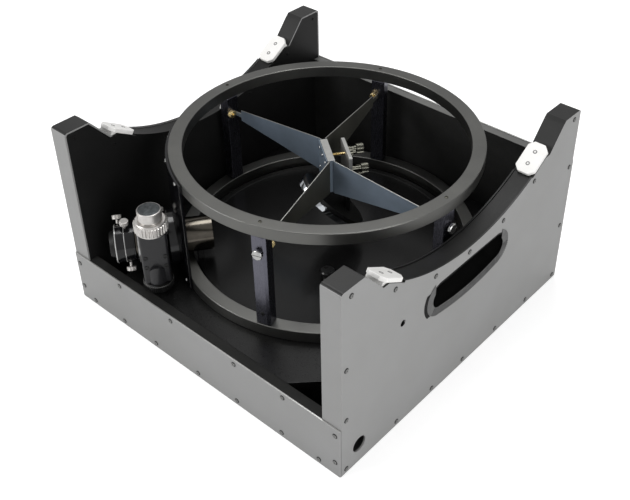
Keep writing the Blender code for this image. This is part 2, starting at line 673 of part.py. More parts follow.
def secondary(spider):
    """Threaded rod, adjuster plate, three knobs, mirror holder and secondary mirror."""
    lay = Matrix.Rotation(-math.pi / 2.0, 4, "X")
    bm = moved(rod(ROD_R, 0.0, ROD_L, 12), (0.0, HUB_HALF_T + FIT, ROD_Z), lay)
    smooth(make_object("centre_rod", bm, "brass", spider))

    pivot_y = HUB_HALF_T + 2.0 * FIT + ROD_L
    low = HUB_TOP_Z - HUB_H - ROD_Z
    high = HUB_TOP_Z - ROD_Z
    pivot = empty("tilt_pivot", (0.0, pivot_y, ROD_Z), parent=spider)
    make_object("knob_plate",
                block((-PLATE_HALF_L, PLATE_HALF_L), (0.0, PLATE_T), (low, high)),
                "hub_alloy", pivot)
    for number, degrees in enumerate(ADJUST_ANGLES):
        angle = math.radians(degrees)
        bm = lathe([(0.0, 0.0), (ADJUST_NECK_R, 0.0), (ADJUST_NECK_R, ADJUST_NECK_L),
                    (ADJUST_HEAD_R, ADJUST_NECK_L),
                    (ADJUST_HEAD_R, ADJUST_NECK_L + ADJUST_HEAD_L),
                    (0.0, ADJUST_NECK_L + ADJUST_HEAD_L)], 16)
        bmesh.ops.transform(bm, matrix=lay, verts=bm.verts)
        smooth(make_object("secondary_knob_%d" % (number + 1), bm, "bright_metal", pivot,
                           at=(ADJUST_R * math.cos(angle), PLATE_T + FIT,
                               (low + high) / 2.0 + ADJUST_R * math.sin(angle))))

    centre = Vector((0.0, -pivot_y, SECONDARY_Z - ROD_Z))
    tilt = Matrix.Rotation(math.radians(-45.0), 4, "X")
    mirror = ellipse_plate(0.0, SECONDARY_T)
    make_object("secondary_mirror", moved(mirror, centre, tilt), "mirror_glass", pivot)
    back = ellipse_plate(SECONDARY_T + FIT, SECONDARY_T + FIT + HOLDER_T)
    holder = make_object("mirror_holder", moved(back, centre, tilt), "satin_black", pivot)
    depth = (SECONDARY_T + FIT + HOLDER_T) * math.sqrt(2.0)
    foot = SECONDARY_Z - ROD_Z + depth - pivot_y - PLATE_T - 2.0 * MM
    arm = block((-HOLDER_ARM_W / 2.0, HOLDER_ARM_W / 2.0), (0.0, PLATE_T), (foot, low - FIT))
    boolean(holder, arm, "UNION")


def ellipse_plate(low, high):
    """Elliptical plate in the XY plane, long way along Y, sunk behind its front face."""
    steps = 32
    major = SECONDARY_MINOR * math.sqrt(2.0)
    outline = []
    for i in range(steps):
        angle = math.tau * i / steps
        outline.append((SECONDARY_MINOR * math.cos(angle), major * math.sin(angle)))
    return prism(outline, "z", low, high)


def focuser():
    """Mounting plate, body, drawtube, eyepiece holder and the focus knobs."""
    frame = empty("focuser_frame", (CAGE_X, CAGE_Y, 0.0), (0.0, 0.0, SPIDER_AZ - math.pi / 2.0))
    inner = RING_RO + FIT
    outer = inner + MOUNT_PLATE_T
    plate = make_object("focuser_plate", mount_plate(inner, outer), "gloss_black", frame)
    hole = rod(DRAWTUBE_R + 1.0 * MM, DRAWTUBE_IN, FLANGE_END, 24)
    hole = moved(hole, (0, 0, FOCUS_Z), along_x())
    boolean(plate, hole)

    start = outer - FLANGE_SUNK
    bm = lathe([(DRAWTUBE_R + SLIDE_FIT, start), (FLANGE_R, start), (FLANGE_R, FLANGE_END),
                (BODY_R, FLANGE_END), (BODY_R, BODY_END), (DRAWTUBE_R + SLIDE_FIT, BODY_END)],
               32, True)
    body = make_object("focuser_body", moved(bm, (0, 0, FOCUS_Z), along_x()), "gloss_black", frame)
    boolean(body, block(BLOCK_X, BLOCK_Y, BLOCK_Z), "UNION")
    bore = rod(DRAWTUBE_R + SLIDE_FIT, BLOCK_X[0] - 5.0 * MM, BODY_END + 9.0 * MM, 32)
    boolean(body, moved(bore, (0, 0, FOCUS_Z), along_x()))
    boolean(body, rod(outer + FIT, 0.0, 0.3, 180))
    pinion = rod(PINION_R + 0.4 * MM, BLOCK_Z[0] - 5.0 * MM, BLOCK_Z[1] + 5.0 * MM, 16)
    boolean(body, moved(pinion, (PINION_X, PINION_Y, 0.0)))

    bm = lathe([(DRAWTUBE_BORE, DRAWTUBE_IN), (DRAWTUBE_R, DRAWTUBE_IN),
                (DRAWTUBE_R, COLLAR_START - FIT), (DRAWTUBE_BORE, COLLAR_START - FIT)], 32, True)
    bmesh.ops.transform(bm, matrix=along_x(), verts=bm.verts)
    smooth(make_object("drawtube", bm, "bright_metal", frame, at=(0, 0, FOCUS_Z)))
    bm = lathe([(PLUG_R + FIT, COLLAR_START), (COLLAR_R, COLLAR_START), (COLLAR_R, COLLAR_END),
                (PLUG_R + FIT, COLLAR_END)], 32, True)
    bmesh.ops.transform(bm, matrix=along_x(), verts=bm.verts)
    smooth(make_object("eyepiece_collar", bm, "gloss_black", frame, at=(0, 0, FOCUS_Z)))
    bm = lathe([(0.0, COLLAR_START + 2.0 * MM), (PLUG_R, COLLAR_START + 2.0 * MM),
                (PLUG_R, COLLAR_END + FIT), (PLUG_HEAD_R, COLLAR_END + FIT),
                (PLUG_HEAD_R, PLUG_END), (0.0, PLUG_END)], 24)
    bmesh.ops.transform(bm, matrix=along_x(), verts=bm.verts)
    smooth(make_object("eyepiece_plug", bm, "satin_black", frame, at=(0, 0, FOCUS_Z)))

    focus_knobs(frame)
    for number, (back, degrees) in enumerate(THUMBS):
        x = COLLAR_END - back * MM
        thumb_screw("eyepiece_screw_%d" % (number + 1), frame, x, degrees, COLLAR_R)
    thumb_screw("drawtube_lock", frame, LOCK_X, LOCK_ANGLE, BODY_R)


def mount_plate(inner, outer):
    """Curved plate on the outside of both rings, waisted below the upper ring."""
    levels = ((LOWER_RING_Z + 1.0 * MM, 0.0), (LOWER_RING_Z + RING_T + 6.0 * MM, 0.0),
              (118.0 * MM, 0.9), (150.0 * MM, 1.0), (178.0 * MM, 0.75), (198.0 * MM, 0.25),
              (208.0 * MM, 0.0), (MOUNT_TOP_Z, 0.0))
    columns = 12
    bm = bmesh.new()
    grid = []
    for z, waist in levels:
        left = -(MOUNT_HALF_ANGLE + (MOUNT_WAIST_ANGLE - MOUNT_HALF_ANGLE) * waist)
        row = []
        for i in range(columns + 1):
            angle = left + (MOUNT_HALF_ANGLE - left) * i / columns
            row.append(bm.verts.new((inner * math.cos(angle), inner * math.sin(angle), z)))
        grid.append(row)
    for lower, upper in zip(grid, grid[1:]):
        for i in range(columns):
            bm.faces.new((lower[i], lower[i + 1], upper[i + 1], upper[i]))
    grown = bmesh.ops.extrude_face_region(bm, geom=bm.faces[:])
    for item in grown["geom"]:
        if isinstance(item, bmesh.types.BMVert):
            item.co.x *= outer / inner
            item.co.y *= outer / inner
    return bm


def focus_knobs(frame):
    """Coarse and fine knobs and the lower knob, all about the pinion's axis."""
    at = (PINION_X, PINION_Y, 0.0)
    top = BLOCK_Z[1] + FIT
    foot = BLOCK_Z[0] + 2.0 * MM
    bm = lathe([(0.0, foot), (PINION_R, foot), (PINION_R, top), (COARSE_R, top),
                (COARSE_R, top + COARSE_H), (0.0, top + COARSE_H)], 24)
    smooth(make_object("coarse_knob", bm, "bright_metal", frame, at=at))
    low = top + COARSE_H + FIT
    bm = rod(FINE_R, low, low + FINE_H, 24)
    smooth(make_object("fine_knob", bm, "bright_metal", frame, at=at))
    high = BLOCK_Z[0] - FIT
    base = high - LOWER_KNOB_H
    stub = foot - FIT
    bm = lathe([(0.0, base), (LOWER_KNOB_R - 2.0 * MM, base), (LOWER_KNOB_R, base + 2.0 * MM),
                (LOWER_KNOB_R, high), (PINION_R, high), (PINION_R, stub), (0.0, stub)], 24)
    smooth(make_object("lower_knob", bm, "gloss_black", frame, at=at))


def thumb_screw(name, frame, x, degrees, seat):
    """Small knurled screw standing square on a tube of the focuser."""
    stem = THUMB_STEM_L
    tip = stem + THUMB_HEAD_L
    bm = lathe([(0.0, 0.0), (THUMB_STEM_R, 0.0), (THUMB_STEM_R, stem), (THUMB_HEAD_R, stem),
                (THUMB_HEAD_R, tip), (0.0, tip)], 12)
    angle = math.radians(degrees)
    out = seat + FIT
    smooth(make_object(name, bm, "bright_metal", frame,
                       at=(x, out * math.sin(angle), FOCUS_Z + out * math.cos(angle)),
                       turn=(-angle, 0.0, 0.0)))


def main():
    """Build the whole part."""
    clear_scene()
    side_wall("right", 1.0)
    side_wall("left", -1.0)
    panels()
    floor_of_box()
    mirror_box()
    cage()
    focuser()


main()
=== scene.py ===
"""Dressed scene of a packed truss telescope: rocker box, mirror box, cage and focuser.

Meshes are worked out in millimetres and turned to metres when a piece is made.
+Z is up and the low front panel of the rocker box faces -Y.
"""

from __future__ import annotations

import logging
import math
from collections.abc import Callable, Iterable, Sequence
from dataclasses import dataclass
from enum import Enum

import bmesh
import bpy
from bmesh.types import BMEdge, BMesh, BMFace, BMVert
from mathutils import Matrix, Vector


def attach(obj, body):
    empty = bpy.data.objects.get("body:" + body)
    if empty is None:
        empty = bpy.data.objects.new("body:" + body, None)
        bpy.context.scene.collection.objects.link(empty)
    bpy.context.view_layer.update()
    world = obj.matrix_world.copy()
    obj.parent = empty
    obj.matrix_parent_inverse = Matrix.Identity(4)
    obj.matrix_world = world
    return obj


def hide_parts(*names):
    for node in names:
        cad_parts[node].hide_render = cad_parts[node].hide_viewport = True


LOG = logging.getLogger("packed_telescope")
MM = 0.001

Range = tuple[float, float]
Point = tuple[float, float]
Triple = tuple[float, float, float]
EdgeTest = Callable[[BMEdge], bool]
FaceTest = Callable[[BMFace], bool]

# Clear space left between two pieces that would touch, in millimetres.
GAP = 0.3
# How far a screw, or the dark ring of painted shadow under it, is let into what it stands on, in
# millimetres.
SUNK = 0.2
# Angle between two faces, in degrees, past which round_edges takes their edge.
BROKEN_TURN = 35.0
# Angle past which an edge is left sharp in the shading.
SHARP_TURN = 32.0
# Where the axis of the cage and of the mirror's mouth stands in X and Y.
TUBE_AXIS: Point = (2.0, 12.0)
# Outer radius of the cage's two rings.
RING_RADIUS = 187.0


class Axis(Enum):
    """Direction that a plate is extruded in or a bar lies along."""

    X = 0
    Y = 1
    Z = 2

    @property
    def unit(self) -> Vector:
        """Vector of length one along the axis."""
        return Vector([float(number == self.value) for number in range(3)])


class Cut(Enum):
    """What a tool does to the solid it meets."""

    REMOVE = "DIFFERENCE"
    ADD = "UNION"
    KEEP = "INTERSECT"


class Body(Enum):
    """The moving bodies of the telescope, apart from its numbered screws."""

    ROCKER = "rocker_box"
    MIRROR_BOX = "mirror_box"
    LID = "mirror_lid"
    CAGE = "cage"
    SECONDARY = "secondary"
    DRAWTUBE = "drawtube_set"
    PLUG = "plug"
    COARSE = "coarse_shaft"
    FINE = "fine_shaft"
    LOCK = "tube_lock"


# ---------------------------------------------------------------- finishes


def srgb(code: str) -> tuple[float, float, float, float]:
    """Turn an sRGB hex colour into linear light.

    Args:
        code: Six hex digits, red first.

    Returns:
        Linear red, green, blue and an alpha of one.
    """
    values = [int(code[i:i + 2], 16) / 255.0 for i in (0, 2, 4)]
    red, green, blue = (v / 12.92 if v <= 0.04045 else ((v + 0.055) / 1.055) ** 2.4 for v in values)
    return (red, green, blue, 1.0)


def add_node(tree: bpy.types.NodeTree, kind: str, settings: dict | None = None,
             links: dict | None = None) -> bpy.types.Node:
    """Add a node with its settings and its links.

    Args:
        tree: The node tree it goes into.
        kind: The node's type name.
        settings: Socket values or node attributes, by name.
        links: Output sockets, by the name of the input they feed.

    Returns:
        The new node.
    """
    node = tree.nodes.new(kind)
    for key, value in (settings or {}).items():
        if key in node.inputs:
            node.inputs[key].default_value = value
        else:
            setattr(node, key, value)
    for key, socket in (links or {}).items():
        tree.links.new(socket, node.inputs[key])
    return node


@dataclass(frozen=True)
class Finish:
    """One surface: a base material and how it was made.

    The colour drifts between two values over patches of patch_mm. The gloss drifts with
    a grain of grain_mm, which stands depth_mm high. lay stretches the grain along the
    axes of a piece that is turned by lay_turn about Z, as brushing or a lathe does.
    """

    name: str
    slot: str
    colour: str
    drift: str
    roughness: Range
    metallic: float = 0.0
    patch_mm: float = 4.0
    grain_mm: float = 0.3
    depth_mm: float = 0.01
    lay: Triple = (1.0, 1.0, 1.0)
    lay_turn: float = 0.0
    specular: float = 0.5

    def material(self) -> bpy.types.Material:
        """Return the finish's node material, made on first use."""
        found = bpy.data.materials.get(self.name)
        if found is not None:
            return found
        made = bpy.data.materials.new(self.name)
        made.use_nodes = True
        tree = made.node_tree
        shader = tree.nodes["Principled BSDF"]
        shader.inputs["Metallic"].default_value = self.metallic
        shader.inputs["Specular IOR Level"].default_value = self.specular
        place = add_node(tree, "ShaderNodeTexCoord").outputs["Object"]
        patches = add_node(tree, "ShaderNodeTexNoise",
                           {"Scale": 1.0 / (self.patch_mm * MM), "Detail": 3.0, "Roughness": 0.6},
                           {"Vector": place})
        ramp = add_node(tree, "ShaderNodeValToRGB", links={"Fac": patches.outputs["Fac"]})
        ramp.color_ramp.elements[0].position = 0.3
        ramp.color_ramp.elements[1].position = 0.7
        ramp.color_ramp.elements[0].color = srgb(self.colour)
        ramp.color_ramp.elements[1].color = srgb(self.drift)
        tree.links.new(ramp.outputs["Color"], shader.inputs["Base Color"])
        laid = add_node(tree, "ShaderNodeMapping",
                        {"vector_type": "TEXTURE",
                         "Rotation": (0.0, 0.0, math.radians(self.lay_turn)),
                         "Scale": self.lay}, {"Vector": place})
        grain = add_node(tree, "ShaderNodeTexNoise",
                         {"Scale": 1.0 / (self.grain_mm * MM), "Detail": 2.0, "Roughness": 0.5},
                         {"Vector": laid.outputs["Vector"]})
        gloss = add_node(tree, "ShaderNodeMapRange",
                         {"From Min": 0.3, "From Max": 0.7,
                          "To Min": self.roughness[0], "To Max": self.roughness[1]},
                         {"Value": grain.outputs["Fac"]})
        tree.links.new(gloss.outputs["Result"], shader.inputs["Roughness"])
        bump = add_node(tree, "ShaderNodeBump",
                        {"Strength": 1.0, "Distance": self.depth_mm * MM},
                        {"Height": grain.outputs["Fac"]})
        tree.links.new(bump.outputs["Normal"], shader.inputs["Normal"])
        return made


# Polyester powder coat on sheet steel: satin, with a fine orange peel.
SKIN_COAT = Finish("powder_coated_steel", "shell_coat", "8b8b8a", "909090", (0.36, 0.44),
                   patch_mm=90.0, grain_mm=1.1)
# Painted shade: the wall's coat made near black on the upward faces of the horns, rubbed a little
# paler by lifting.
HORN_TOP_SHADE = Finish("powder_coated_horn_top", "shell_coat", "1d1d1d", "262625", (0.36, 0.46),
                       patch_mm=40.0, grain_mm=1.1, depth_mm=0.012, specular=0.4)
# Fold of coated sheet over the back board's top, given a darker grey than the walls: painted shade
# on an upward face.
FOLD_SHADE = Finish("coated_folded_edge", "shell_coat", "646462", "70706e", (0.36, 0.46),
                     patch_mm=30.0, grain_mm=0.9)
# Painted highlight: pale bright grey on the upward faces along the top edge of the front and back
# sheets.
SHEET_TOP_HIGHLIGHT = Finish("sheared_sheet_edge", "shell_coat", "b4b4b2", "c4c4c2", (0.26, 0.36),
                   metallic=0.5, patch_mm=20.0, grain_mm=0.4, depth_mm=0.008)
# Black coat on the inner sheets: satin, in the shade of the cage.
LINER_COAT = Finish("black_coated_liner", "wall_liner", "101010", "161616", (0.4, 0.5),
                    patch_mm=60.0, grain_mm=1.0, specular=0.3)
# Dyed fibreboard: dull, with short fibres.
FIBREBOARD = Finish("dyed_fibreboard", "board_black", "191918", "20201f", (0.66, 0.8),
                    patch_mm=14.0, grain_mm=0.7, depth_mm=0.04, lay=(3.0, 1.0, 1.0), specular=0.3)
# Calendered vinyl tape: charcoal with a soft tooth.
CRADLE_VINYL = Finish("calendered_vinyl", "cradle_strip", "0f0f0f", "151514", (0.42, 0.54),
                      patch_mm=18.0, grain_mm=0.8, depth_mm=0.03, specular=0.3)
# Skived fluoropolymer: waxy white with faint machining haze.
SLICK_PLASTIC = Finish("skived_fluoropolymer", "slick_pad", "ebeae7", "f1f0ee", (0.34, 0.5),
                       patch_mm=12.0, grain_mm=0.6, depth_mm=0.012, lay=(6.0, 1.0, 1.0))
# Extruded EPDM edging, its black rubber painted a dark grey on the lip and ribs: painted light from
# above; matt.
EPDM_LIT_GREY = Finish("extruded_epdm", "rubber_trim", "525252", "646464", (0.5, 0.66), patch_mm=10.0,
                   grain_mm=0.5, depth_mm=0.03, lay=(1.0, 5.0, 1.0))
# The same rubber at its own black, inside the slot; also laid as a band of painted shadow beside
# the lip.
EPDM_BLACK_AND_SHADOW = Finish("black_epdm_lining", "rubber_trim", "090909", "0e0e0e", (0.6, 0.72),
                    patch_mm=10.0, grain_mm=0.5, depth_mm=0.03, specular=0.2)
# High-pressure laminate bearing ring: hard pebbled face.
LAMINATE = Finish("pressed_laminate", "laminate", "6a6866", "777472", (0.3, 0.5), patch_mm=8.0,
                  grain_mm=1.6, depth_mm=0.05)
# Black lacquer on the mirror box: smoother than the walls.
BOX_LACQUER = Finish("sprayed_black_lacquer", "mirror_box_coat", "0e0e0e", "131313", (0.26, 0.36),
                     patch_mm=50.0, grain_mm=1.4, depth_mm=0.006, specular=0.35)
# Moulded lid: even black, a soft gloss that blurs what it mirrors.
LID_GLOSS = Finish("gloss_abs_lid", "cover_gloss", "131313", "171717", (0.18, 0.26), patch_mm=60.0,
                   grain_mm=2.5, depth_mm=0.004, specular=0.3)
# Anodised aluminium, finely brushed: satin grey that takes its tone from what it faces.
RING_ANODISE = Finish("brushed_anodised_ring", "ring_coat", "6c6c6a", "767673", (0.32, 0.42),
                      metallic=1.0, patch_mm=60.0, grain_mm=0.5, depth_mm=0.008)
# Anodised extrusion, drawn lengthwise: a cool grey that looks near black beside the dark ring.
POST_ANODISE = Finish("anodised_extrusion", "post_coat", "666670", "72727c", (0.22, 0.32),
                      metallic=1.0, patch_mm=30.0, grain_mm=0.5, depth_mm=0.006,
                      lay=(1.0, 1.0, 20.0))
# Blued spring sheet: grey with a cool cast. The hub's ends and its tab are the same sheet.
VANE_SHEET = Finish("blued_spring_sheet", "vane_sheet", "6b7783", "7b8897", (0.4, 0.52),
                    metallic=0.45, patch_mm=40.0, grain_mm=0.5, depth_mm=0.005)
# A darker copy of the same sheet for the second pair of vanes: painted shade, for the pair that
# shows darker under the lamps.
VANE_SHADED = Finish("oiled_spring_sheet", "vane_sheet", "40403b", "4b4b45", (0.4, 0.52),
                    metallic=0.45, patch_mm=40.0, grain_mm=0.5, depth_mm=0.005)
# Painted highlight: a thin pale line on the upward faces along the top edges of the vanes.
VANE_TOP_HIGHLIGHT = Finish("sheared_steel_edge", "vane_sheet", "9c9c98", "acaca8", (0.3, 0.4), metallic=0.9,
                  patch_mm=12.0, depth_mm=0.005)
# Bead-blasted aluminium: matt pale grey with a fine sparkle.
HUB_ALLOY = Finish("bead_blasted_aluminium", "hub_alloy", "a3a3a1", "afafac", (0.42, 0.52),
                   metallic=0.7, patch_mm=8.0, grain_mm=0.35, depth_mm=0.02)
# Turned brass: warm, with fine tool marks.
BRASS = Finish("turned_brass", "brass", "ecd290", "fae6b4", (0.2, 0.32), metallic=1.0, patch_mm=3.0)
# Nickel plate: bright, a little grey.
NICKEL = Finish("nickel_plated_steel", "bright_metal", "b2b2b2", "c6c6c4", (0.14, 0.24),
                metallic=1.0, depth_mm=0.006)
# Plain turned steel: darker than the plate, crisp in its knurl.
DARK_STEEL = Finish("turned_steel", "bright_metal", "52524c", "69685f", (0.18, 0.32), metallic=1.0)
# Turned aluminium: satin tool lines round its axis, slightly warm.
TURNED_ALLOY = Finish("turned_aluminium_knob", "bright_metal", "cfccc8", "dddad7", (0.28, 0.42),
                      metallic=0.85, patch_mm=5.0, grain_mm=0.25, depth_mm=0.012,
                      lay=(60.0, 60.0, 1.0))
# The same knob's top face, darker and dull.
DARK_KNOB_TOP = Finish("worn_knob_top", "bright_metal", "34383a", "5e6264", (0.28, 0.42), metallic=0.8,
                  grain_mm=0.4, depth_mm=0.012)
# Zinc-plated screw, painted over: the wall's grey on its dome.
PAINTED_SCREW = Finish("painted_pan_screw", "shell_coat", "727271", "8a8a88", (0.3, 0.4),
                       metallic=0.2, patch_mm=2.0)
# Black oxide: dark oiled steel; the same black is laid under the sheet screws as painted shadow.
BLACK_OXIDE_AND_SHADOW = Finish("black_oxide_steel", "shell_coat", "121212", "1b1b1b", (0.34, 0.46),
                     metallic=0.5, patch_mm=2.0)
# Gloss anodising: deep black with sharp highlights.
FOCUSER_GLOSS = Finish("gloss_anodised_focuser", "focuser_gloss", "08080a", "0d0d10", (0.12, 0.2),
                       patch_mm=20.0, grain_mm=0.6, depth_mm=0.004)
# Bare line left where the anodising is turned away at an edge.
BARE_EDGE = Finish("diamond_cut_edge", "focuser_gloss", "b8b8b8", "cacac8", (0.14, 0.24),
                   metallic=0.6, patch_mm=6.0, depth_mm=0.004)
# Dark satin anodising on the pinion's block.
BLOCK_ANODISE = Finish("dark_anodised_block", "focuser_gloss", "18181a", "202022", (0.26, 0.36),
                       patch_mm=14.0, grain_mm=0.4, depth_mm=0.008)
# Black anodised knob, satin.
KNOB_BLACK = Finish("black_anodised_knob", "knob_black", "0b0b0b", "121212", (0.24, 0.34),
                    patch_mm=6.0, depth_mm=0.008, lay=(40.0, 40.0, 1.0), specular=0.45)
# Knurl cut through the black into bare metal.
KNURL_BARE = Finish("bare_knurl", "knob_black", "8a8a88", "a4a4a2", (0.2, 0.34), metallic=0.9,
                    patch_mm=3.0)
# Ground and polished tube: mirrors its surroundings along its length.
DRAWTUBE_CHROME = Finish("ground_steel_tube", "drawtube_metal", "56524b", "66615a", (0.14, 0.22),
                         metallic=1.0, patch_mm=20.0, depth_mm=0.003, lay=(1.0, 40.0, 40.0),
                         lay_turn=-127.0)
# Moulded polythene plug: matt black.
PLUG_PLASTIC = Finish("moulded_pe_plug", "plug_black", "0f0f0f", "161616", (0.4, 0.5), patch_mm=8.0,
                      grain_mm=0.7, depth_mm=0.02, specular=0.3)
# Vacuum-coated glass: a clean mirror.
MIRROR_COAT = Finish("aluminised_glass", "mirror_glass", "c9cdd2", "d0d4d8", (0.02, 0.04),
                     metallic=1.0, patch_mm=80.0, grain_mm=5.0, depth_mm=0.0005)


# ---------------------------------------------------------------- mesh tools, in millimetres


def at(x: float = 0.0, y: float = 0.0, z: float = 0.0) -> Matrix:
    """Return a shift."""
    return Matrix.Translation((x, y, z))


def as_mesh(name: str, bm: BMesh) -> bpy.types.Mesh:
    """Write a solid to a new mesh, which uses the solid up."""
    mesh = bpy.data.meshes.new(name)
    bm.to_mesh(mesh)
    bm.free()
    return mesh


def add_object(name: str, data: bpy.types.ID) -> bpy.types.Object:
    """Put a new object into the scene."""
    made = bpy.data.objects.new(name, data)
    bpy.context.scene.collection.objects.link(made)
    return made


def grown_verts(grown: dict) -> list[BMVert]:
    """Return the vertices that an extrusion made."""
    return [item for item in grown["geom"] if isinstance(item, BMVert)]


def block(x: Range, y: Range, z: Range) -> BMesh:
    """Make a box between its low and high faces.

    Args:
        x: Low and high X.
        y: Low and high Y.
        z: Low and high Z.

    Returns:
        The box.
    """
    bm = bmesh.new()
    bmesh.ops.create_cube(bm, size=1.0)
    bmesh.ops.scale(bm, verts=bm.verts, vec=(x[1] - x[0], y[1] - y[0], z[1] - z[0]))
    middle = Vector((x[0] + x[1], y[0] + y[1], z[0] + z[1])) / 2.0
    bmesh.ops.translate(bm, verts=bm.verts, vec=middle)
    return bm


def plate(corners: Sequence[Point], axis: Axis, low: float, high: float) -> BMesh:
    """Extrude a plate from a few corners.

    Args:
        corners: The outline, in the plane across the axis.
        axis: The direction of its thickness.
        low: Where the thickness starts.
        high: Where it ends.

    Returns:
        The closed plate.
    """
    place = {
        Axis.X: lambda a, b: Vector((low, a, b)),
        Axis.Y: lambda a, b: Vector((a, low, b)),
        Axis.Z: lambda a, b: Vector((a, b, low)),
    }[axis]
    bm = bmesh.new()
    face = bm.faces.new([bm.verts.new(place(a, b)) for a, b in corners])
    grown = bmesh.ops.extrude_face_region(bm, geom=[face])
    bmesh.ops.translate(bm, verts=grown_verts(grown), vec=axis.unit * (high - low))
    bmesh.ops.recalc_face_normals(bm, faces=bm.faces)
    return bm


def bar(radius: float, low: float, high: float, axis: Axis = Axis.Z,
        steps: int = 48, end_radius: float | None = None) -> BMesh:
    """Make a round bar, or a cone when its end has another radius.

    Args:
        radius: Radius at the low end.
        low: Start along the axis.
        high: End along the axis.
        axis: The bar's direction.
        steps: Sides round it.
        end_radius: Radius at the high end, if it differs.

    Returns:
        The closed bar.
    """
    bm = bmesh.new()
    bmesh.ops.create_cone(bm, cap_ends=True, segments=steps, radius1=radius,
                          radius2=radius if end_radius is None else end_radius, depth=high - low)
    bmesh.ops.translate(bm, verts=bm.verts, vec=(0.0, 0.0, (low + high) / 2.0))
    if axis is Axis.X:
        bmesh.ops.rotate(bm, verts=bm.verts, matrix=Matrix.Rotation(math.pi / 2.0, 3, "Y"))
    elif axis is Axis.Y:
        bmesh.ops.rotate(bm, verts=bm.verts, matrix=Matrix.Rotation(-math.pi / 2.0, 3, "X"))
    return bm


def turned(profile: Sequence[Point], steps: int = 64, ring: bool = False) -> BMesh:
    """Spin a profile about Z.

    Args:
        profile: Radius and height of each point.
        steps: Sides round it.
        ring: Whether the profile closes on itself, off the axis.

    Returns:
        The closed turned solid.
    """
    bm = bmesh.new()
    verts = [bm.verts.new((radius, 0.0, height)) for radius, height in profile]
    edges = [bm.edges.new(pair) for pair in zip(verts, verts[1:])]
    if ring:
        edges.append(bm.edges.new((verts[-1], verts[0])))
    bmesh.ops.spin(bm, geom=verts + edges, axis=(0, 0, 1), cent=(0, 0, 0), steps=steps,
                   angle=math.tau, use_merge=True)
    bmesh.ops.remove_doubles(bm, verts=bm.verts, dist=1e-4)
    bmesh.ops.recalc_face_normals(bm, faces=bm.faces)
    return bm


def swept(section: Sequence[Sequence[float]], axis: Axis, reach: float, steps: int) -> BMesh:
    """Sweep a section about an axis, by the same angle to both sides.

    Args:
        section: Its corners, in the middle of the sweep.
        axis: What it turns about, through the origin.
        reach: Angle to each side.
        steps: Faces along the sweep.

    Returns:
        The closed sweep.
    """
    bm = bmesh.new()
    face = bm.faces.new([bm.verts.new(corner) for corner in section])
    bmesh.ops.rotate(bm, verts=bm.verts, matrix=Matrix.Rotation(-reach, 3, axis.name))
    bmesh.ops.spin(bm, geom=[face, *face.edges, *face.verts], axis=axis.unit,
                   cent=(0, 0, 0), steps=steps, angle=2.0 * reach)
    bmesh.ops.recalc_face_normals(bm, faces=bm.faces)
    return bm


def is_sharp(edge: BMEdge) -> bool:
    """Say whether an edge turns enough to be broken."""
    return len(edge.link_faces) == 2 and edge.calc_face_angle(0.0) > math.radians(BROKEN_TURN)


def round_edges(bm: BMesh, width: float, segments: int = 2,
                pick: EdgeTest = is_sharp) -> BMesh:
    """Round or chamfer chosen edges.

    Args:
        bm: The solid, changed in place.
        width: Set-back from the edge.
        segments: One gives a chamfer.
        pick: Says which edges are taken.

    Returns:
        The same solid.
    """
    bm.normal_update()
    edges = [edge for edge in bm.edges if pick(edge)]
    bmesh.ops.bevel(bm, geom=edges, affect="EDGES", offset=width, offset_type="OFFSET",
                    segments=segments, profile=0.5, material=-1, clamp_overlap=True)
    return bm


def runs_along(edge: BMEdge, axis: Axis) -> bool:
    """Say whether an edge is parallel to an axis."""
    run = (edge.verts[1].co - edge.verts[0].co).normalized()
    return abs(run[axis.value]) > 0.999


def moved(bm: BMesh, matrix: Matrix) -> BMesh:
    """Place a solid by a matrix and return it."""
    bmesh.ops.transform(bm, matrix=matrix, verts=bm.verts)
    if matrix.determinant() < 0.0:
        bmesh.ops.reverse_faces(bm, faces=bm.faces)
    return bm


def joined(parts: Iterable[BMesh]) -> BMesh:
    """Put several solids into one mesh.

    Args:
        parts: The solids, which are used up.

    Returns:
        One mesh that holds them all.
    """
    result = bmesh.new()
    for part in parts:
        mesh = as_mesh("part", part)
        result.from_mesh(mesh)
        bpy.data.meshes.remove(mesh)
    return result


def copies(template: BMesh, places: Iterable[Matrix]) -> BMesh:
    """Set a copy of a small solid at each place.

    Args:
        template: The solid, which is used up.
        places: One matrix for each copy.

    Returns:
        One mesh with every copy.
    """
    result = joined(moved(template.copy(), place) for place in places)
    template.free()
    return result


def carve(solid: BMesh, tool: BMesh,
          cut: Cut = Cut.REMOVE) -> BMesh:
    """Cut, join or trim a solid with a tool.

    Args:
        solid: The solid, which is used up.
        tool: The tool, which is used up.
        cut: What the tool does.

    Returns:
        The new solid.
    """
    holders = [add_object(name, as_mesh(name, bm))
               for name, bm in (("carve_solid", solid), ("carve_tool", tool))]
    step = holders[0].modifiers.new("carve", "BOOLEAN")
    step.operation = cut.value
    step.solver = "EXACT"
    step.object = holders[1]
    bpy.context.view_layer.update()
    ready = holders[0].evaluated_get(bpy.context.evaluated_depsgraph_get())
    result = bmesh.new()
    result.from_mesh(ready.to_mesh())
    ready.to_mesh_clear()
    for holder in holders:
        mesh = holder.data
        bpy.data.objects.remove(holder)
        bpy.data.meshes.remove(mesh)
    bmesh.ops.remove_doubles(result, verts=result.verts, dist=1e-3)
    bmesh.ops.dissolve_degenerate(result, dist=1e-3, edges=result.edges)
    return result


def draw_in(verts: Iterable[BMVert], limit: float, height: float) -> None:
    """Bring vertices inside a radius and to one height.

    Args:
        verts: The vertices, changed in place.
        limit: The radius about Z.
        height: Their new height.
    """
    for vert in verts:
        reach = min(1.0, limit / max(vert.co.xy.length, 1e-6))
        vert.co.x *= reach
        vert.co.y *= reach
        vert.co.z = height


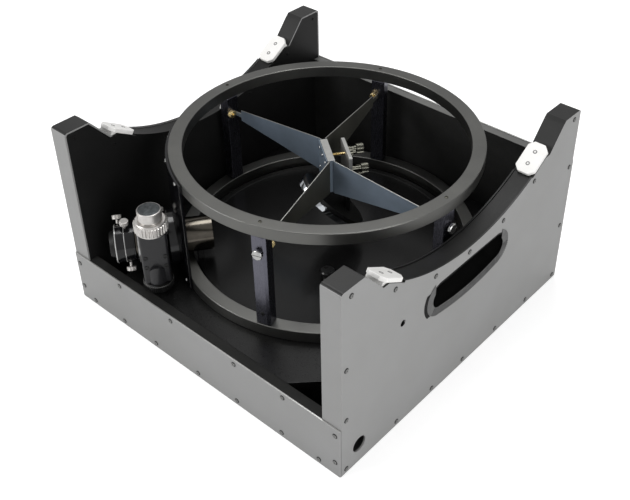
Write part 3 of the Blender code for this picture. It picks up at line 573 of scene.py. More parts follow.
def ribbed(radius: float, low: float, high: float, ribs: int, depth: float,
           edge: float = 0.4) -> BMesh:
    """Make a knurled or fluted bar about Z.

    Args:
        radius: Radius over the ribs.
        low: Start height.
        high: End height.
        ribs: Number of ribs.
        depth: Depth of the grooves.
        edge: Chamfer at both ends.

    Returns:
        The closed bar.
    """
    bm = bmesh.new()
    made = bmesh.ops.create_circle(bm, cap_ends=True, segments=ribs * 4, radius=radius)
    for number, vert in enumerate(made["verts"]):
        if number % 4 in (2, 3):
            vert.co *= (radius - depth) / radius
        vert.co.z = low + edge
    face = bm.faces[:]
    for height, share in ((high - edge, 1.0), (high, 1.0 - (edge + depth) / radius)):
        grown = bmesh.ops.extrude_face_region(bm, geom=face)
        face = [item for item in grown["geom"] if isinstance(item, BMFace)]
        draw_in(grown_verts(grown), radius * share, height)
    bottom = [f for f in bm.faces if all(abs(v.co.z - low - edge) < 1e-6 for v in f.verts)]
    if bottom:
        bmesh.ops.delete(bm, geom=bottom, context="FACES_ONLY")
    rim = [e for e in bm.edges if e.is_boundary]
    grown = bmesh.ops.extrude_edge_only(bm, edges=rim)
    draw_in(grown_verts(grown), radius - edge - depth, low)
    bmesh.ops.contextual_create(bm, geom=[e for e in bm.edges if e.is_boundary])
    bmesh.ops.recalc_face_normals(bm, faces=bm.faces)
    return bm


def pan_head(radius: float = 2.5, height: float = 1.4) -> BMesh:
    """Make a domed cross-recess screw head standing up from Z 0.

    Args:
        radius: Radius of the head.
        height: Height of its dome.

    Returns:
        The closed head.
    """
    dome = turned([(0.0, -SUNK), (radius, -SUNK), (radius, 0.35 * height),
                   (0.88 * radius, 0.75 * height), (0.55 * radius, 0.96 * height),
                   (0.0, height)], 20)
    arm, half = 0.62 * radius, 0.14 * radius
    for x, y in ((arm, half), (half, arm)):
        dome = carve(dome, block((-x, x), (-y, y), (0.35 * height, 2.0 * height)))
    return dome


def socket_head(radius: float = 2.6, height: float = 2.0) -> BMesh:
    """Make a socket-head screw standing up from Z 0.

    Args:
        radius: Radius of the head.
        height: Its height.

    Returns:
        The closed head.
    """
    head = turned([(0.0, -SUNK), (radius, -SUNK), (radius, height - 0.3),
                   (radius - 0.3, height), (0.0, height)], 24)
    return carve(head, bar(0.52 * radius, 0.35 * height, 2.0 * height, steps=6))


def facing(point: Sequence[float], outward: Sequence[float]) -> Matrix:
    """Place a thing that points up so that it stands on a point and faces outward."""
    turn = Vector(outward).to_track_quat("Z", "Y").to_matrix().to_4x4()
    return at(*point) @ turn


def within(place: Matrix, low: float, high: float,
           radius: float = 0.0) -> FaceTest:
    """Pick the faces of a band round a piece's own Z axis.

    Args:
        place: Where the piece goes.
        low: Start of the band.
        high: Its end.
        radius: How far from the axis a face must lie.

    Returns:
        The test of a face.
    """
    home = place.inverted()

    def test(face: BMFace) -> bool:
        """Say whether a placed face lies in the band."""
        middle = home @ face.calc_center_median()
        return low <= middle.z <= high and middle.xy.length >= radius

    return test


def make_piece(name: str, bm: BMesh, finish: Finish, body: Body | str,
               stands_for: Sequence[str] = (), place: Matrix | None = None,
               accent: tuple[Finish, FaceTest] | None = None,
               sharp: float = SHARP_TURN) -> bpy.types.Object:
    """Turn a solid in millimetres into a dressed piece that rides on its body.

    Args:
        name: The piece's name.
        bm: Its solid, which is used up.
        finish: Its surface.
        body: The body it moves with.
        stands_for: CAD nodes that it is shown for.
        place: Where it goes, in millimetres.
        accent: A second finish and the faces that take it.
        sharp: Angle in degrees past which an edge stays sharp.

    Returns:
        The piece's object.
    """
    if place is not None:
        moved(bm, place)
    bm.normal_update()
    for face in bm.faces:
        face.material_index = int(accent is not None and accent[1](face))
    bmesh.ops.scale(bm, verts=bm.verts, vec=(MM, MM, MM))
    mesh = as_mesh(name, bm)
    mesh.materials.append(finish.material())
    if accent is not None:
        mesh.materials.append(accent[0].material())
    mesh.shade_smooth()
    mesh.set_sharp_from_angle(angle=math.radians(sharp))
    piece = add_object(name, mesh)
    weigh = piece.modifiers.new("flat_faces", "WEIGHTED_NORMAL")
    weigh.keep_sharp = True
    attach(piece, body.value if isinstance(body, Body) else body)
    if stands_for:
        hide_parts(*stands_for)
    return piece


# ---------------------------------------------------------------- rocker box


def sheet_screws(name: str, places: Sequence[Matrix], flip: Matrix | None = None) -> None:
    """Make the painted screws of one outer sheet, each on a dark ring of painted shadow.

    Args:
        name: Start of the pieces' names.
        places: Where each stands.
        flip: Mirrors them to the other side.
    """
    # A dark ring under each head: painted shadow round the screw.
    shadow_ring = turned([(0.0, -SUNK), (3.1, -SUNK), (3.1, 0.3), (2.9, 0.5), (0.0, 0.5)], 24)
    make_piece(name + "_washers", copies(shadow_ring, places), BLACK_OXIDE_AND_SHADOW, Body.ROCKER, place=flip)
    raised = [place @ at(z=0.3) for place in places]
    make_piece(name + "_screws", copies(pan_head(2.2, 1.1), raised), PAINTED_SCREW, Body.ROCKER,
               place=flip)


@dataclass
class RockerBox:
    """Outer box with its horned side walls, panels and floor. Sizes in millimetres."""

    half_w: float = 220.0
    wall_t: float = 26.0
    sheet: float = 2.0
    wall_end: float = 214.5
    top: float = 255.0
    flat_y: float = 180.0
    foot_y: float = 152.0
    foot_drop: float = 8.0
    cradle_r: float = 258.0
    cradle_z: float = 439.0
    strip_recess: float = 1.2
    strip_depth: float = 8.0
    pad_proud: float = 4.0
    pad_l: float = 41.0
    pad_t: float = 13.0
    pad_lip: float = 5.2
    pad_key_inset: float = 4.0
    pad_inset: float = 16.8
    skin_y: float = 216.6
    skin_t: float = 1.8
    front_h: float = 71.5
    front_t: float = 14.6
    back_h: float = 183.0
    back_t: float = 13.6
    slot_half: float = 73.0
    slot_z: Range = (125.0, 165.0)
    slot_sag: float = 5.0
    slot_r: float = 20.0
    trim_t: float = 2.0
    trim_lip: float = 4.0
    trim_proud: float = 1.5
    trim_over: float = 6.5
    rib_count: int = 52
    rib_step: float = 6.5
    screw_low: float = 6.5
    pan_z: Range = (5.0, 17.0)
    azimuth_r: Range = (118.0, 152.0)
    azimuth_z: Range = (1.2, 4.7)
    # Y, Z and radius of the two holes in the right wall.
    holes: tuple[Triple, ...] = ((-186.0, 27.0, 10.0), (-118.0, 152.0, 4.0))

    @property
    def inner(self) -> float:
        """Inner face of a wall."""
        return self.half_w - self.wall_t

    @property
    def foot_z(self) -> float:
        """Height of the foot of a horn's slope."""
        return self.cradle_z - math.sqrt(self.cradle_r ** 2 - self.foot_y ** 2) - self.foot_drop

    @property
    def pad_angle(self) -> float:
        """Angle of a pad from straight below the bearing's centre."""
        return math.asin((self.foot_y - self.pad_inset) / self.cradle_r)

    def blank(self, x: Range, inset: float = 0.0) -> BMesh:
        """Cut a wall's blank, without its arc.

        Args:
            x: Low and high X.
            inset: How far its edges are moved in.

        Returns:
            The blank.
        """
        end = self.wall_end - inset
        top = self.top - inset
        slope = math.atan2(self.top - self.foot_z, self.flat_y - self.foot_y)
        flat = self.flat_y + inset / math.sin(slope) - inset / math.tan(slope)
        foot = self.foot_y + inset / math.sin(slope)
        corners = [(-end, inset), (end, inset), (end, top), (flat, top), (foot, self.foot_z),
                   (-foot, self.foot_z), (-flat, top), (-end, top)]
        bm = plate(corners, Axis.X, x[0], x[1])
        return round_edges(bm, 4.0 - 0.5 * inset, 5, lambda e: runs_along(e, Axis.X) and
                           abs(abs(e.verts[0].co.y) - end) < 0.1 and e.verts[0].co.z > top - 0.1)

    def arc(self, radius: float) -> BMesh:
        """Return the round tool that clears the cradle."""
        tool = bar(radius, 150.0, 260.0, Axis.X, 256)
        return moved(tool, at(z=self.cradle_z))

    def pad_place(self, turn: float) -> Matrix:
        """Return the frame of a pad, with its top at Z 0."""
        radius = self.cradle_r - self.pad_proud
        point = (self.half_w - self.wall_t / 2.0, turn * radius * math.sin(self.pad_angle),
                 self.cradle_z - radius * math.cos(self.pad_angle))
        return at(*point) @ Matrix.Rotation(turn * self.pad_angle, 4, "X")

    def seats(self, with_key: bool = False) -> BMesh:
        """Make the tool that clears both pad seats.

        Args:
            with_key: Whether the seats go down round the keys under the pads.

        Returns:
            The tool.
        """
        half = self.pad_l / 2.0 + GAP
        blocks = []
        for turn in (1.0, -1.0):
            seat = block((-30.0, 30.0), (-half, half), (-self.pad_lip - GAP, 40.0))
            blocks.append(moved(seat, self.pad_place(turn)))
            if with_key:
                near = half - self.pad_key_inset
                key = block((-11.0, 11.0), (-near, near), (-self.pad_t - GAP, -3.0))
                blocks[-1] = carve(blocks[-1], moved(key, self.pad_place(turn)), Cut.ADD)
        return joined(blocks)

    def slot(self, grow: float, x: Range) -> BMesh:
        """Shape the hand slot.

        Args:
            grow: How far it is larger all round.
            x: Low and high X.

        Returns:
            The slot's solid, with its lower edge sagging.
        """
        half = self.slot_half + grow
        body = block(x, (-half, half), (self.slot_z[0] - grow, self.slot_z[1] + grow))
        round_edges(body, self.slot_r + grow, 10, lambda e: runs_along(e, Axis.X))
        chord = self.slot_half - self.slot_r
        radius = (chord ** 2 + self.slot_sag ** 2) / (2.0 * self.slot_sag)
        belly = moved(bar(radius + grow, x[0], x[1], Axis.X, 720),
                      at(z=self.slot_z[0] - self.slot_sag + radius))
        keep = block((x[0] - 5.0, x[1] + 5.0), (-chord, chord), (100.0, self.slot_z[0] + 20.0))
        return carve(body, carve(belly, keep, Cut.KEEP), Cut.ADD)

    def build_wall(self, side: str, sign: float) -> None:
        """Make one side wall with its liner, strip, pads, trim and screws.

        Args:
            side: The wall's name.
            sign: 1 on the right and -1 on the left.
        """
        flip = Matrix.Scale(sign, 4, (1, 0, 0))
        out, inn = self.half_w, self.inner
        skin = self.blank((inn, out))
        round_edges(skin, 3.0, 5, lambda e: e.verts[0].co.x > out - 0.1 and
                    e.verts[1].co.x > out - 0.1 and self.front_h < e.verts[0].co.z and
                    abs(e.verts[0].co.y) > self.wall_end - 6.0 and runs_along(e, Axis.Z))
        round_edges(skin, 1.4, 4, lambda e: min(v.co.z for v in e.verts) > self.top - 0.1)
        skin = carve(skin, self.blank((inn - 5.0, out - self.sheet), self.sheet))
        skin = carve(skin, self.arc(self.cradle_r))
        skin = carve(skin, self.seats())
        skin = carve(skin, self.slot(0.0, (out - 6.0, out + 6.0)))
        if sign > 0:
            for y, z, radius in self.holes:
                hole = bar(radius, out - 4.0, out + 4.0, Axis.X, 40)
                skin = carve(skin, moved(hole, at(0.0, y, z)))
        round_edges(skin, 0.35, 2)
        # The horns' upward faces take the near-black coat as painted shade.
        make_piece(side + "_wall_skin", skin, SKIN_COAT, Body.ROCKER, (side + "_wall_shell",), flip,
                   (HORN_TOP_SHADE, lambda f: f.normal.z > 0.5 and f.calc_center_median().z > 100.0))

        liner = self.blank((inn, inn + self.sheet), self.sheet + GAP)
        liner = carve(liner, self.arc(self.cradle_r))
        liner = carve(liner, self.seats())
        make_piece(side + "_wall_inner_sheet", round_edges(liner, 0.3, 2), LINER_COAT, Body.ROCKER,
                   (side + "_wall_liner",), flip)
        self.build_strip(side, flip)
        for turn, place in ((1.0, "back"), (-1.0, "front")):
            self.build_pad(side, place, flip @ self.pad_place(turn))
        self.build_trim(side, flip)
        self.build_wall_screws(side, flip)

    def build_strip(self, side: str, flip: Matrix) -> None:
        """Make the vinyl strip in the cradle of one wall.

        Args:
            side: The wall's name.
            flip: Mirrors the strip to its side.
        """
        span = math.asin(self.foot_y / self.cradle_r) - 0.03
        low = -self.cradle_r - self.strip_recess
        x = (self.inner + self.sheet + GAP, self.half_w - self.sheet - GAP)
        section = ((x[0], 0.0, low - self.strip_depth), (x[1], 0.0, low - self.strip_depth),
                   (x[1], 0.0, low), (x[0], 0.0, low))
        strip = moved(swept(section, Axis.X, span, 96), at(z=self.cradle_z))
        strip = carve(strip, self.seats(with_key=True))
        make_piece(side + "_cradle_tape", round_edges(strip, 0.4, 2), CRADLE_VINYL, Body.ROCKER,
                   (side + "_cradle_strip",), flip)

    def build_pad(self, side: str, place: str, frame: Matrix) -> None:
        """Make one slick pad: a chamfered plate with a key let in between the sheets.

        Args:
            side: The wall's name.
            place: Front or back.
            frame: The pad's place, with its top at Z 0.
        """
        half_w, half_l = self.wall_t / 2.0 - 0.2, self.pad_l / 2.0
        pad = block((-half_w, half_w), (-half_l, half_l), (-self.pad_lip, 0.0))
        round_edges(pad, 6.0, 1, lambda e: runs_along(e, Axis.Z))
        round_edges(pad, 0.8, 3)
        key_w, key_l = half_w - self.sheet - 0.4, half_l - self.pad_key_inset
        key = block((-key_w, key_w), (-key_l, key_l), (-self.pad_t, -0.5 * self.pad_lip))
        name = "%s_%s_pad" % (side, place)
        make_piece(name + "_plate", carve(pad, key, Cut.ADD), SLICK_PLASTIC, Body.ROCKER, (name,),
                   frame)
        heads = [at(0.0, y, -0.3) for y in (-0.4 * half_l, 0.4 * half_l)]
        make_piece(name + "_screws", copies(socket_head(2.7, 0.5), heads), PAINTED_SCREW,
                   Body.ROCKER, place=frame)

    def build_trim(self, side: str, flip: Matrix) -> None:
        """Make the lining of one hand slot and the ribbed edging round its lower half.

        Args:
            side: The wall's name.
            flip: Mirrors them to their side.
        """
        out = self.half_w
        through = (out - 4.0, out + 8.0)
        lining = self.slot(-GAP, (self.inner + self.sheet + GAP, out))
        lining = carve(lining, self.slot(-self.trim_t - GAP, (self.inner, through[1])))
        make_piece(side + "_handle_lining", round_edges(lining, 0.3, 2), EPDM_BLACK_AND_SHADOW, Body.ROCKER,
                   (side + "_handle_trim",), flip)
        # The edging and its ribs are the black rubber painted grey: painted light from above.
        lip = self.slot(self.trim_lip, (out + 0.1, out + self.trim_proud - 0.8))
        lip = carve(lip, self.slot(-self.trim_over, through))
        bare = self.slot_half - 0.5 * self.slot_r
        lip = carve(lip, block(through, (-bare, bare), (150.0, 180.0)))
        make_piece(side + "_handle_edging", round_edges(lip, 0.35, 2), EPDM_LIT_GREY, Body.ROCKER,
                   place=flip)
        # A black band just outside the lip at the slot's front end: painted shadow.
        shadow_band = self.slot(self.trim_lip + 4.5, (out + 0.05, out + 0.45))
        shadow_band = carve(shadow_band, self.slot(self.trim_lip + 0.2, through))
        ends = self.slot_half - 6.0
        shadow_band = carve(shadow_band, block(through, (-100.0, -ends), (128.0, 160.0)), Cut.KEEP)
        make_piece(side + "_handle_gap", shadow_band, EPDM_BLACK_AND_SHADOW, Body.ROCKER, place=flip)
        rib = block((out + GAP, out + self.trim_proud), (-0.5, 0.5), (-2.7, self.trim_over - 0.4))
        make_piece(side + "_handle_ribs", copies(round_edges(rib, 0.25, 1), self.rib_places()),
                   EPDM_LIT_GREY, Body.ROCKER, place=flip)

    def rib_places(self) -> list[Matrix]:
        """Place the ribs along the slot's sagging edge and up round its lower corners.

        Returns:
            One matrix for each rib.
        """
        chord = self.slot_half - self.slot_r
        radius = chord ** 2 / (2.0 * self.slot_sag) + self.slot_sag / 2.0
        centre = self.slot_z[0] - self.slot_sag + radius
        reach = math.asin(chord / radius)
        rows = [(0.0, centre, radius, -reach + 2.0 * reach * i / (self.rib_count - 1))
                for i in range(self.rib_count)]
        for end, last in ((1.0, 90.0), (-1.0, 40.0)):
            rows += [(end * chord, self.slot_z[0] + self.slot_r, self.slot_r,
                      end * math.radians(8.0 + self.rib_step * i))
                     for i in range(int(last / self.rib_step))]
        return [at(0.0, y, z) @ Matrix.Rotation(angle, 4, "X") @ at(z=-arm - 0.8)
                for y, z, arm, angle in rows]

    def build_wall_screws(self, side: str, flip: Matrix) -> None:
        """Make the screws on the outer and inner faces of one wall.

        Args:
            side: The wall's name.
            flip: Mirrors them to their side.
        """
        spots = [(-200, 245), (-133, 208), (-64, 180), (-2, 174), (63, 179), (123, 201),
                 (201, 247), (207, 177), (207, 88), (-207, 153), (-207, 81.5)]
        spots += [(y, self.screw_low) for y in (-207, -122, -57, 4, 73, 142, 207)]
        outer = [facing((self.half_w, y, z), (1, 0, 0)) for y, z in spots]
        sheet_screws(side + "_wall", outer, flip)
        inner = [facing((self.inner, y, z), (-1, 0, 0)) for y, z in
                 ((-203, 245), (-150, 212), (150, 212), (203, 245), (-75, 182), (75, 182))]
        make_piece(side + "_liner_screws", copies(pan_head(2.0, 1.0), inner), BLACK_OXIDE_AND_SHADOW,
                   Body.ROCKER, place=flip)

    def build_panels(self) -> None:
        """Make the front and back panels, each a skin on a board core with its screws."""
        self.build_panel("front", -1.0, self.front_h, self.front_t,
                         [(x, 64.6) for x in (-133.1, -40.0, 64.9, 139.0)]
                         + [(-213, 57), (213, 61), (-213, 20), (213, 20)]
                         + [(x, self.screw_low) for x in (-193, -135, -75, 0, 65, 135, 190)])
        self.build_panel("back", 1.0, self.back_h, self.back_t,
                         [(x, 176.0) for x in (-133.1, -64.9, 0.0, 64.9, 133.1)]
                         + [(s * 213, z) for s in (-1, 1) for z in (20, 70, 120, 168)]
                         + [(x, self.screw_low) for x in (-190, -135, -75, 0, 75, 135, 190)])

    def build_panel(self, name: str, sign: float, height: float, depth: float,
                    spots: Sequence[Point]) -> None:
        """Make one panel.

        Args:
            name: Front or back.
            sign: -1 at the front and 1 at the back.
            height: Height of its skin.
            depth: Thickness of skin and core together.
            spots: X and Z of each screw.
        """
        near, far = sorted((sign * self.skin_y, sign * (self.skin_y - self.skin_t)))
        skin = block((-self.half_w, self.half_w), (near, far), (0.0, height))
        round_edges(skin, 1.4, 4, lambda e: runs_along(e, Axis.Z)
                    and sign * e.verts[0].co.y > self.skin_y - 0.1)
        round_edges(skin, 0.35, 2)
        # The sheet's upward faces carry a painted highlight along its top edge.
        make_piece(name + "_panel_sheet", skin, SKIN_COAT, Body.ROCKER, (name + "_panel_skin",),
                   accent=(SHEET_TOP_HIGHLIGHT, lambda f: f.normal.z > 0.3))
        near, far = sorted((sign * (self.skin_y - self.skin_t - GAP), sign * (self.skin_y - depth)))
        half = self.inner - GAP
        core = block((-half, half), (near, far), (0.0, height - 0.6))
        # The fold covers the top of the back board and is painted darker as shade; in front this
        # test takes the hidden underside.
        make_piece(name + "_panel_board", round_edges(core, 0.8, 2), FIBREBOARD, Body.ROCKER,
                   (name + "_panel_core",), accent=(FOLD_SHADE, lambda f: sign * f.normal.z > 0.5))
        places = [facing((x, sign * self.skin_y, z), (0, sign, 0)) for x, z in spots]
        sheet_screws(name + "_panel", places)

    def build_floor(self) -> None:
        """Make the floor board and the laminate bearing ring under it."""
        half = self.inner - GAP
        pan = block((-half, half), (-self.skin_y + self.front_t + GAP,
                                    self.skin_y - self.back_t - GAP), self.pan_z)
        make_piece("floor_board", round_edges(pan, 0.6, 2), FIBREBOARD, Body.ROCKER,
                   ("bottom_pan",))
        (near, far), (low, high) = self.azimuth_r, self.azimuth_z
        ring = turned([(near, low), (far, low), (far, high), (near, high)], 128, True)
        make_piece("turning_ring", round_edges(ring, 0.5, 2), LAMINATE, Body.ROCKER,
                   ("azimuth_ring",))

    def build(self) -> None:
        """Make the whole rocker box."""
        self.build_wall("right", 1.0)
        self.build_wall("left", -1.0)
        self.build_panels()
        self.build_floor()


# ---------------------------------------------------------------- mirror box


@dataclass
class MirrorBox:
    """Eight-sided box that holds the mirror, with its lid. Sizes in millimetres."""

    half_x: float = 193.4
    half_y: float = 201.4
    corner: float = 61.5
    bottom: float = 17.3
    top: float = 69.5
    wall: float = 4.0
    mouth_r: float = 160.0
    lid_r: float = 166.0
    plug_r: float = 159.5
    lid_top: float = 72.5
    lid_low: float = 64.0
    pull: Point = (52.0, -46.0)
    pull_r: float = 9.0
    pull_h: float = 11.5

    def prism(self, inset: float, z: Range) -> BMesh:
        """Make the eight-sided solid, moved in by inset.

        Args:
            inset: How far its sides are moved in.
            z: Low and high Z.

        Returns:
            The solid.
        """
        x, y = self.half_x - inset, self.half_y - inset
        bm = block((-x, x), (-y, y), z)
        leg = self.corner - inset * (2.0 - math.sqrt(2.0))
        return round_edges(bm, leg, 1, lambda e: runs_along(e, Axis.Z))

    def build(self) -> None:
        """Make the box, its lid and the dressed parts inside."""
        shell = self.prism(0.0, (self.bottom, self.top))
        shell = carve(shell, self.prism(self.wall, (self.bottom - 10.0, self.top - self.wall)))
        mouth = bar(self.mouth_r, self.top - 20.0, self.top + 20.0, steps=256)
        shell = carve(shell, moved(mouth, at(*TUBE_AXIS)))
        make_piece("mirror_box_body", round_edges(shell, 0.7, 2), BOX_LACQUER, Body.MIRROR_BOX,
                   ("mirror_box_shell",))
        self.build_lid()
        bolts = [("collimation_bolt_%d" % number, NICKEL) for number in (1, 2, 3)]
        for node, finish in [("cell_frame", BOX_LACQUER), ("mirror_support", BOX_LACQUER),
                             ("primary_mirror", MIRROR_COAT), *bolts]:
            dress_node(node, finish)

    def build_lid(self) -> None:
        """Make the lid with its rolled rim and finger pull."""
        seat, top = self.top + GAP, self.lid_top
        lid = turned([(0.0, self.lid_low), (self.plug_r - 1.0, self.lid_low),
                      (self.plug_r, self.lid_low + 1.0), (self.plug_r, seat), (self.lid_r, seat),
                      (self.lid_r, top - 0.8), (self.lid_r - 0.8, top), (self.lid_r - 7.0, top),
                      (self.lid_r - 7.6, top - 0.5), (0.0, top - 0.5)], 192)
        place = at(*TUBE_AXIS)
        make_piece("mirror_lid_disc", lid, LID_GLOSS, Body.LID, ("mirror_cover",), place)
        base = top - 0.6
        pull = turned([(0.0, base), (self.pull_r * 0.75, base), (self.pull_r * 0.62, base + 1.0),
                       (self.pull_r * 0.58, base + 4.6), (self.pull_r * 0.8, base + 6.4),
                       (self.pull_r, base + 7.4), (self.pull_r, base + 10.4),
                       (self.pull_r * 0.88, base + self.pull_h + 0.4),
                       (0.0, base + self.pull_h + 0.6)], 48)
        make_piece("lid_finger_pull", pull, KNOB_BLACK, Body.LID,
                   place=at(*self.pull))


def dress_node(node: str, finish: Finish) -> None:
    """Give a CAD node its finish and leave its shape alone."""
    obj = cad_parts[node]
    for slot in obj.material_slots:
        slot.material = finish.material()
    LOG.info("%s: dressed in %s", node, finish.name)


# ---------------------------------------------------------------- secondary cage


@dataclass
class Cage:
    """Two rings on four posts, with the spider. Sizes in millimetres."""

    ring_ri: float = 170.5
    ring_t: float = 15.0
    upper_top: float = 225.0
    lower_low: float = 69.8
    post_w: float = 18.0
    post_ridge: float = 5.0
    post_facet: float = 1.6
    spider_turn: float = -37.0
    post_spread: float = 34.5
    hub_l: float = 24.0
    hub_t: float = 4.5
    hub_z: Range = (160.0, 206.0)
    vane_t: float = 1.1
    vane_tip_h: float = 15.0
    vane_tab_h: float = 6.0
    vane_tab_l: float = 14.5
    tension_z: float = 188.0
    clamp_r: float = 6.6
    clamp_l: float = 4.6
    rod_r: float = 1.9
    rod_l: float = 16.0
    rod_z: float = 198.0
    foot_z: float = 101.0
    nut_r: float = 5.0
    nut_h: float = 5.6

    @property
    def frame(self) -> Matrix:
        """Frame of the cage, on its axis."""
        return at(*TUBE_AXIS)

    @property
    def spider(self) -> Matrix:
        """Frame of the spider, with X along the hub."""
        return self.frame @ Matrix.Rotation(math.radians(self.spider_turn), 4, "Z")

    @property
    def azimuths(self) -> tuple[float, ...]:
        """Azimuth of each post in the spider's frame, in radians."""
        spread = math.radians(self.post_spread)
        return (-spread, spread, math.pi - spread, math.pi + spread)

    def build(self) -> None:
        """Make the cage."""
        low_top = self.lower_low + self.ring_t
        up_low = self.upper_top - self.ring_t
        for name, low, high in (("upper", up_low, self.upper_top),
                                ("lower", self.lower_low, low_top)):
            ring = turned([(self.ring_ri, low), (RING_RADIUS, low), (RING_RADIUS, high),
                           (self.ring_ri, high)], 240, True)
            make_piece("cage_%s_ring" % name, round_edges(ring, 1.0, 3), RING_ANODISE, Body.CAGE,
                       (name + "_ring",), self.frame)
        middle = (RING_RADIUS + self.ring_ri) / 2.0
        spots = [Matrix.Rotation(a, 4, "Z") @ at(middle, 0.0, self.upper_top)
                 for a in self.azimuths]
        make_piece("ring_top_screws", copies(pan_head(2.2, 0.7), spots), DARK_STEEL, Body.CAGE,
                   place=self.spider)
        for number, azimuth in enumerate(self.azimuths, 1):
            self.build_post(number, azimuth, low_top + GAP, up_low - GAP)
            self.build_vane(number, azimuth)
        self.build_hub()

    def build_post(self, number: int, azimuth: float, low: float, high: float) -> None:
        """Make one post with its screws and tension knob.

        Args:
            number: The post's number.
            azimuth: Where it stands in the spider's frame.
            low: Its foot.
            high: Its top.
        """
        half = self.post_w / 2.0
        outer = math.sqrt((RING_RADIUS - GAP) ** 2 - half ** 2)
        corners = [(self.ring_ri + 0.4, -half), (outer - self.post_facet, -half),
                   (RING_RADIUS - 0.5, self.post_ridge), (outer - self.post_facet, half),
                   (self.ring_ri + 0.4, half)]
        place = self.spider @ Matrix.Rotation(azimuth, 4, "Z")
        post = round_edges(plate(corners, Axis.Z, low, high), 0.6, 2)
        make_piece("cage_post_%d" % number, post, POST_ANODISE, Body.CAGE,
                   ("post_%d" % number,), place, sharp=12.0)
        foot = facing((RING_RADIUS - 1.0, 0.0, self.foot_z), (1, 0, 0))
        make_piece("post_%d_screw" % number, pan_head(2.6, 1.0), BLACK_OXIDE_AND_SHADOW, Body.CAGE,
                   place=place @ foot)
        nut = ribbed(self.nut_r, 0.0, self.nut_h, 16, 0.4)
        bolt = joined([nut, turned([(0.0, 4.0), (1.6, 4.0), (1.6, 7.4), (0.0, 7.8)], 16)])
        inward = facing((self.ring_ri + 0.2, 4.6, self.tension_z), (-1, 0, 0))
        make_piece("vane_nut_%d" % number, bolt, BRASS, Body.CAGE, place=place @ inward)
        knob = turned([(0.0, 0.0), (0.6 * self.clamp_r, 0.0), (0.6 * self.clamp_r, 0.8),
                       (self.clamp_r, 1.2), (self.clamp_r, self.clamp_l - 0.8),
                       (self.clamp_r - 0.8, self.clamp_l), (0.0, self.clamp_l)], 8)
        round_edges(knob, 0.3, 2)
        slit = block((-9.0, 9.0), (-0.5, 0.5), (self.clamp_l - 0.7, 12.0))
        knob = carve(knob, slit)
        out = facing((RING_RADIUS, 0.0, self.tension_z), (1, 0, 0))
        make_piece("tension_knob_%d" % number, knob, NICKEL, "vane_tensioner_%d" % number,
                   ("clamp_knob_%d" % number,), place @ out)

    def build_vane(self, number: int, azimuth: float) -> None:
        """Make one tapered vane.

        Args:
            number: The vane's number.
            azimuth: Where its post stands in the spider's frame.
        """
        side = 1.0 if math.cos(azimuth) > 0.0 else -1.0
        lean = 1.0 if math.sin(azimuth) > 0.0 else -1.0
        start = Vector((side * (self.hub_l + 1.2), lean * (self.hub_t - 2.0)))
        tip = Vector((math.cos(azimuth), math.sin(azimuth))) * (self.ring_ri + 0.1)
        run = tip - start
        taper = run.length - self.vane_tab_l
        end, tab, mid = self.vane_tip_h / 2.0, self.vane_tab_h / 2.0, self.tension_z
        corners = [(0.0, self.hub_z[0]), (taper, mid - end), (taper, mid - tab),
                   (run.length, mid - tab), (run.length, mid + tab), (taper, mid + tab),
                   (taper, mid + end), (0.0, self.hub_z[1])]
        bm = plate(corners, Axis.Y, -self.vane_t / 2.0, self.vane_t / 2.0)
        place = self.spider @ at(start.x, start.y, 0.0) @ Matrix.Rotation(
            math.atan2(run.y, run.x), 4, "Z")
        # Vanes 1 and 3 take the darker copy of the sheet as painted shade.
        finish = VANE_SHADED if number % 2 else VANE_SHEET
        # Every vane's upward edge faces carry a painted highlight.
        make_piece("spider_vane_%d" % number, round_edges(bm, 0.25, 2), finish, Body.CAGE,
                   ("vane_%d" % number,), place, (VANE_TOP_HIGHLIGHT, lambda f: f.normal.z > 0.3))

    def build_hub(self) -> None:
        """Make the hub bar, the vane tab screwed along it and the threaded rod."""
        hub = block((-self.hub_l, self.hub_l), (-self.hub_t, self.hub_t), self.hub_z)
        round_edges(hub, 0.6, 3)
        home = self.spider.inverted().to_3x3()
        make_piece("hub_bar", hub, HUB_ALLOY, Body.CAGE, ("spider_hub",), self.spider,
                   (VANE_SHEET, lambda f: abs((home @ f.normal).x) > 0.8))
        side = -self.hub_t - 0.1
        low, high = self.hub_z
        tab = plate([(-self.hub_l - 1.0, low), (self.hub_l - 8.0, low + 3.0),
                     (self.hub_l - 1.0, high - 14.0), (self.hub_l - 1.0, high - 0.8),
                     (-self.hub_l - 1.0, high - 0.8)], Axis.Y, side - 1.2, side)
        make_piece("vane_tab", round_edges(tab, 0.2, 2), VANE_SHEET, Body.CAGE,
                   place=self.spider)
        spots = [facing((x, side - 1.2, z), (0, -1, 0)) for x, z in
                 ((-19.0, high - 8.0), (-2.0, high - 8.0), (15.0, high - 8.0),
                  (-17.0, low + 12.0), (2.0, low + 12.0))]
        make_piece("tab_screws", copies(pan_head(2.1, 0.9), spots), NICKEL, Body.CAGE,
                   place=self.spider)
        profile = [(0.0, 0.0)]
        for i in range(int(self.rod_l)):
            profile += [(self.rod_r, i + 0.1), (self.rod_r - 0.35, i + 0.6)]
        profile += [(self.rod_r, self.rod_l), (0.0, self.rod_l)]
        place = self.spider @ facing((0.0, self.hub_t + GAP, self.rod_z), (0, 1, 0))
        make_piece("threaded_rod", turned(profile, 24), BRASS, Body.CAGE, ("centre_rod",), place)


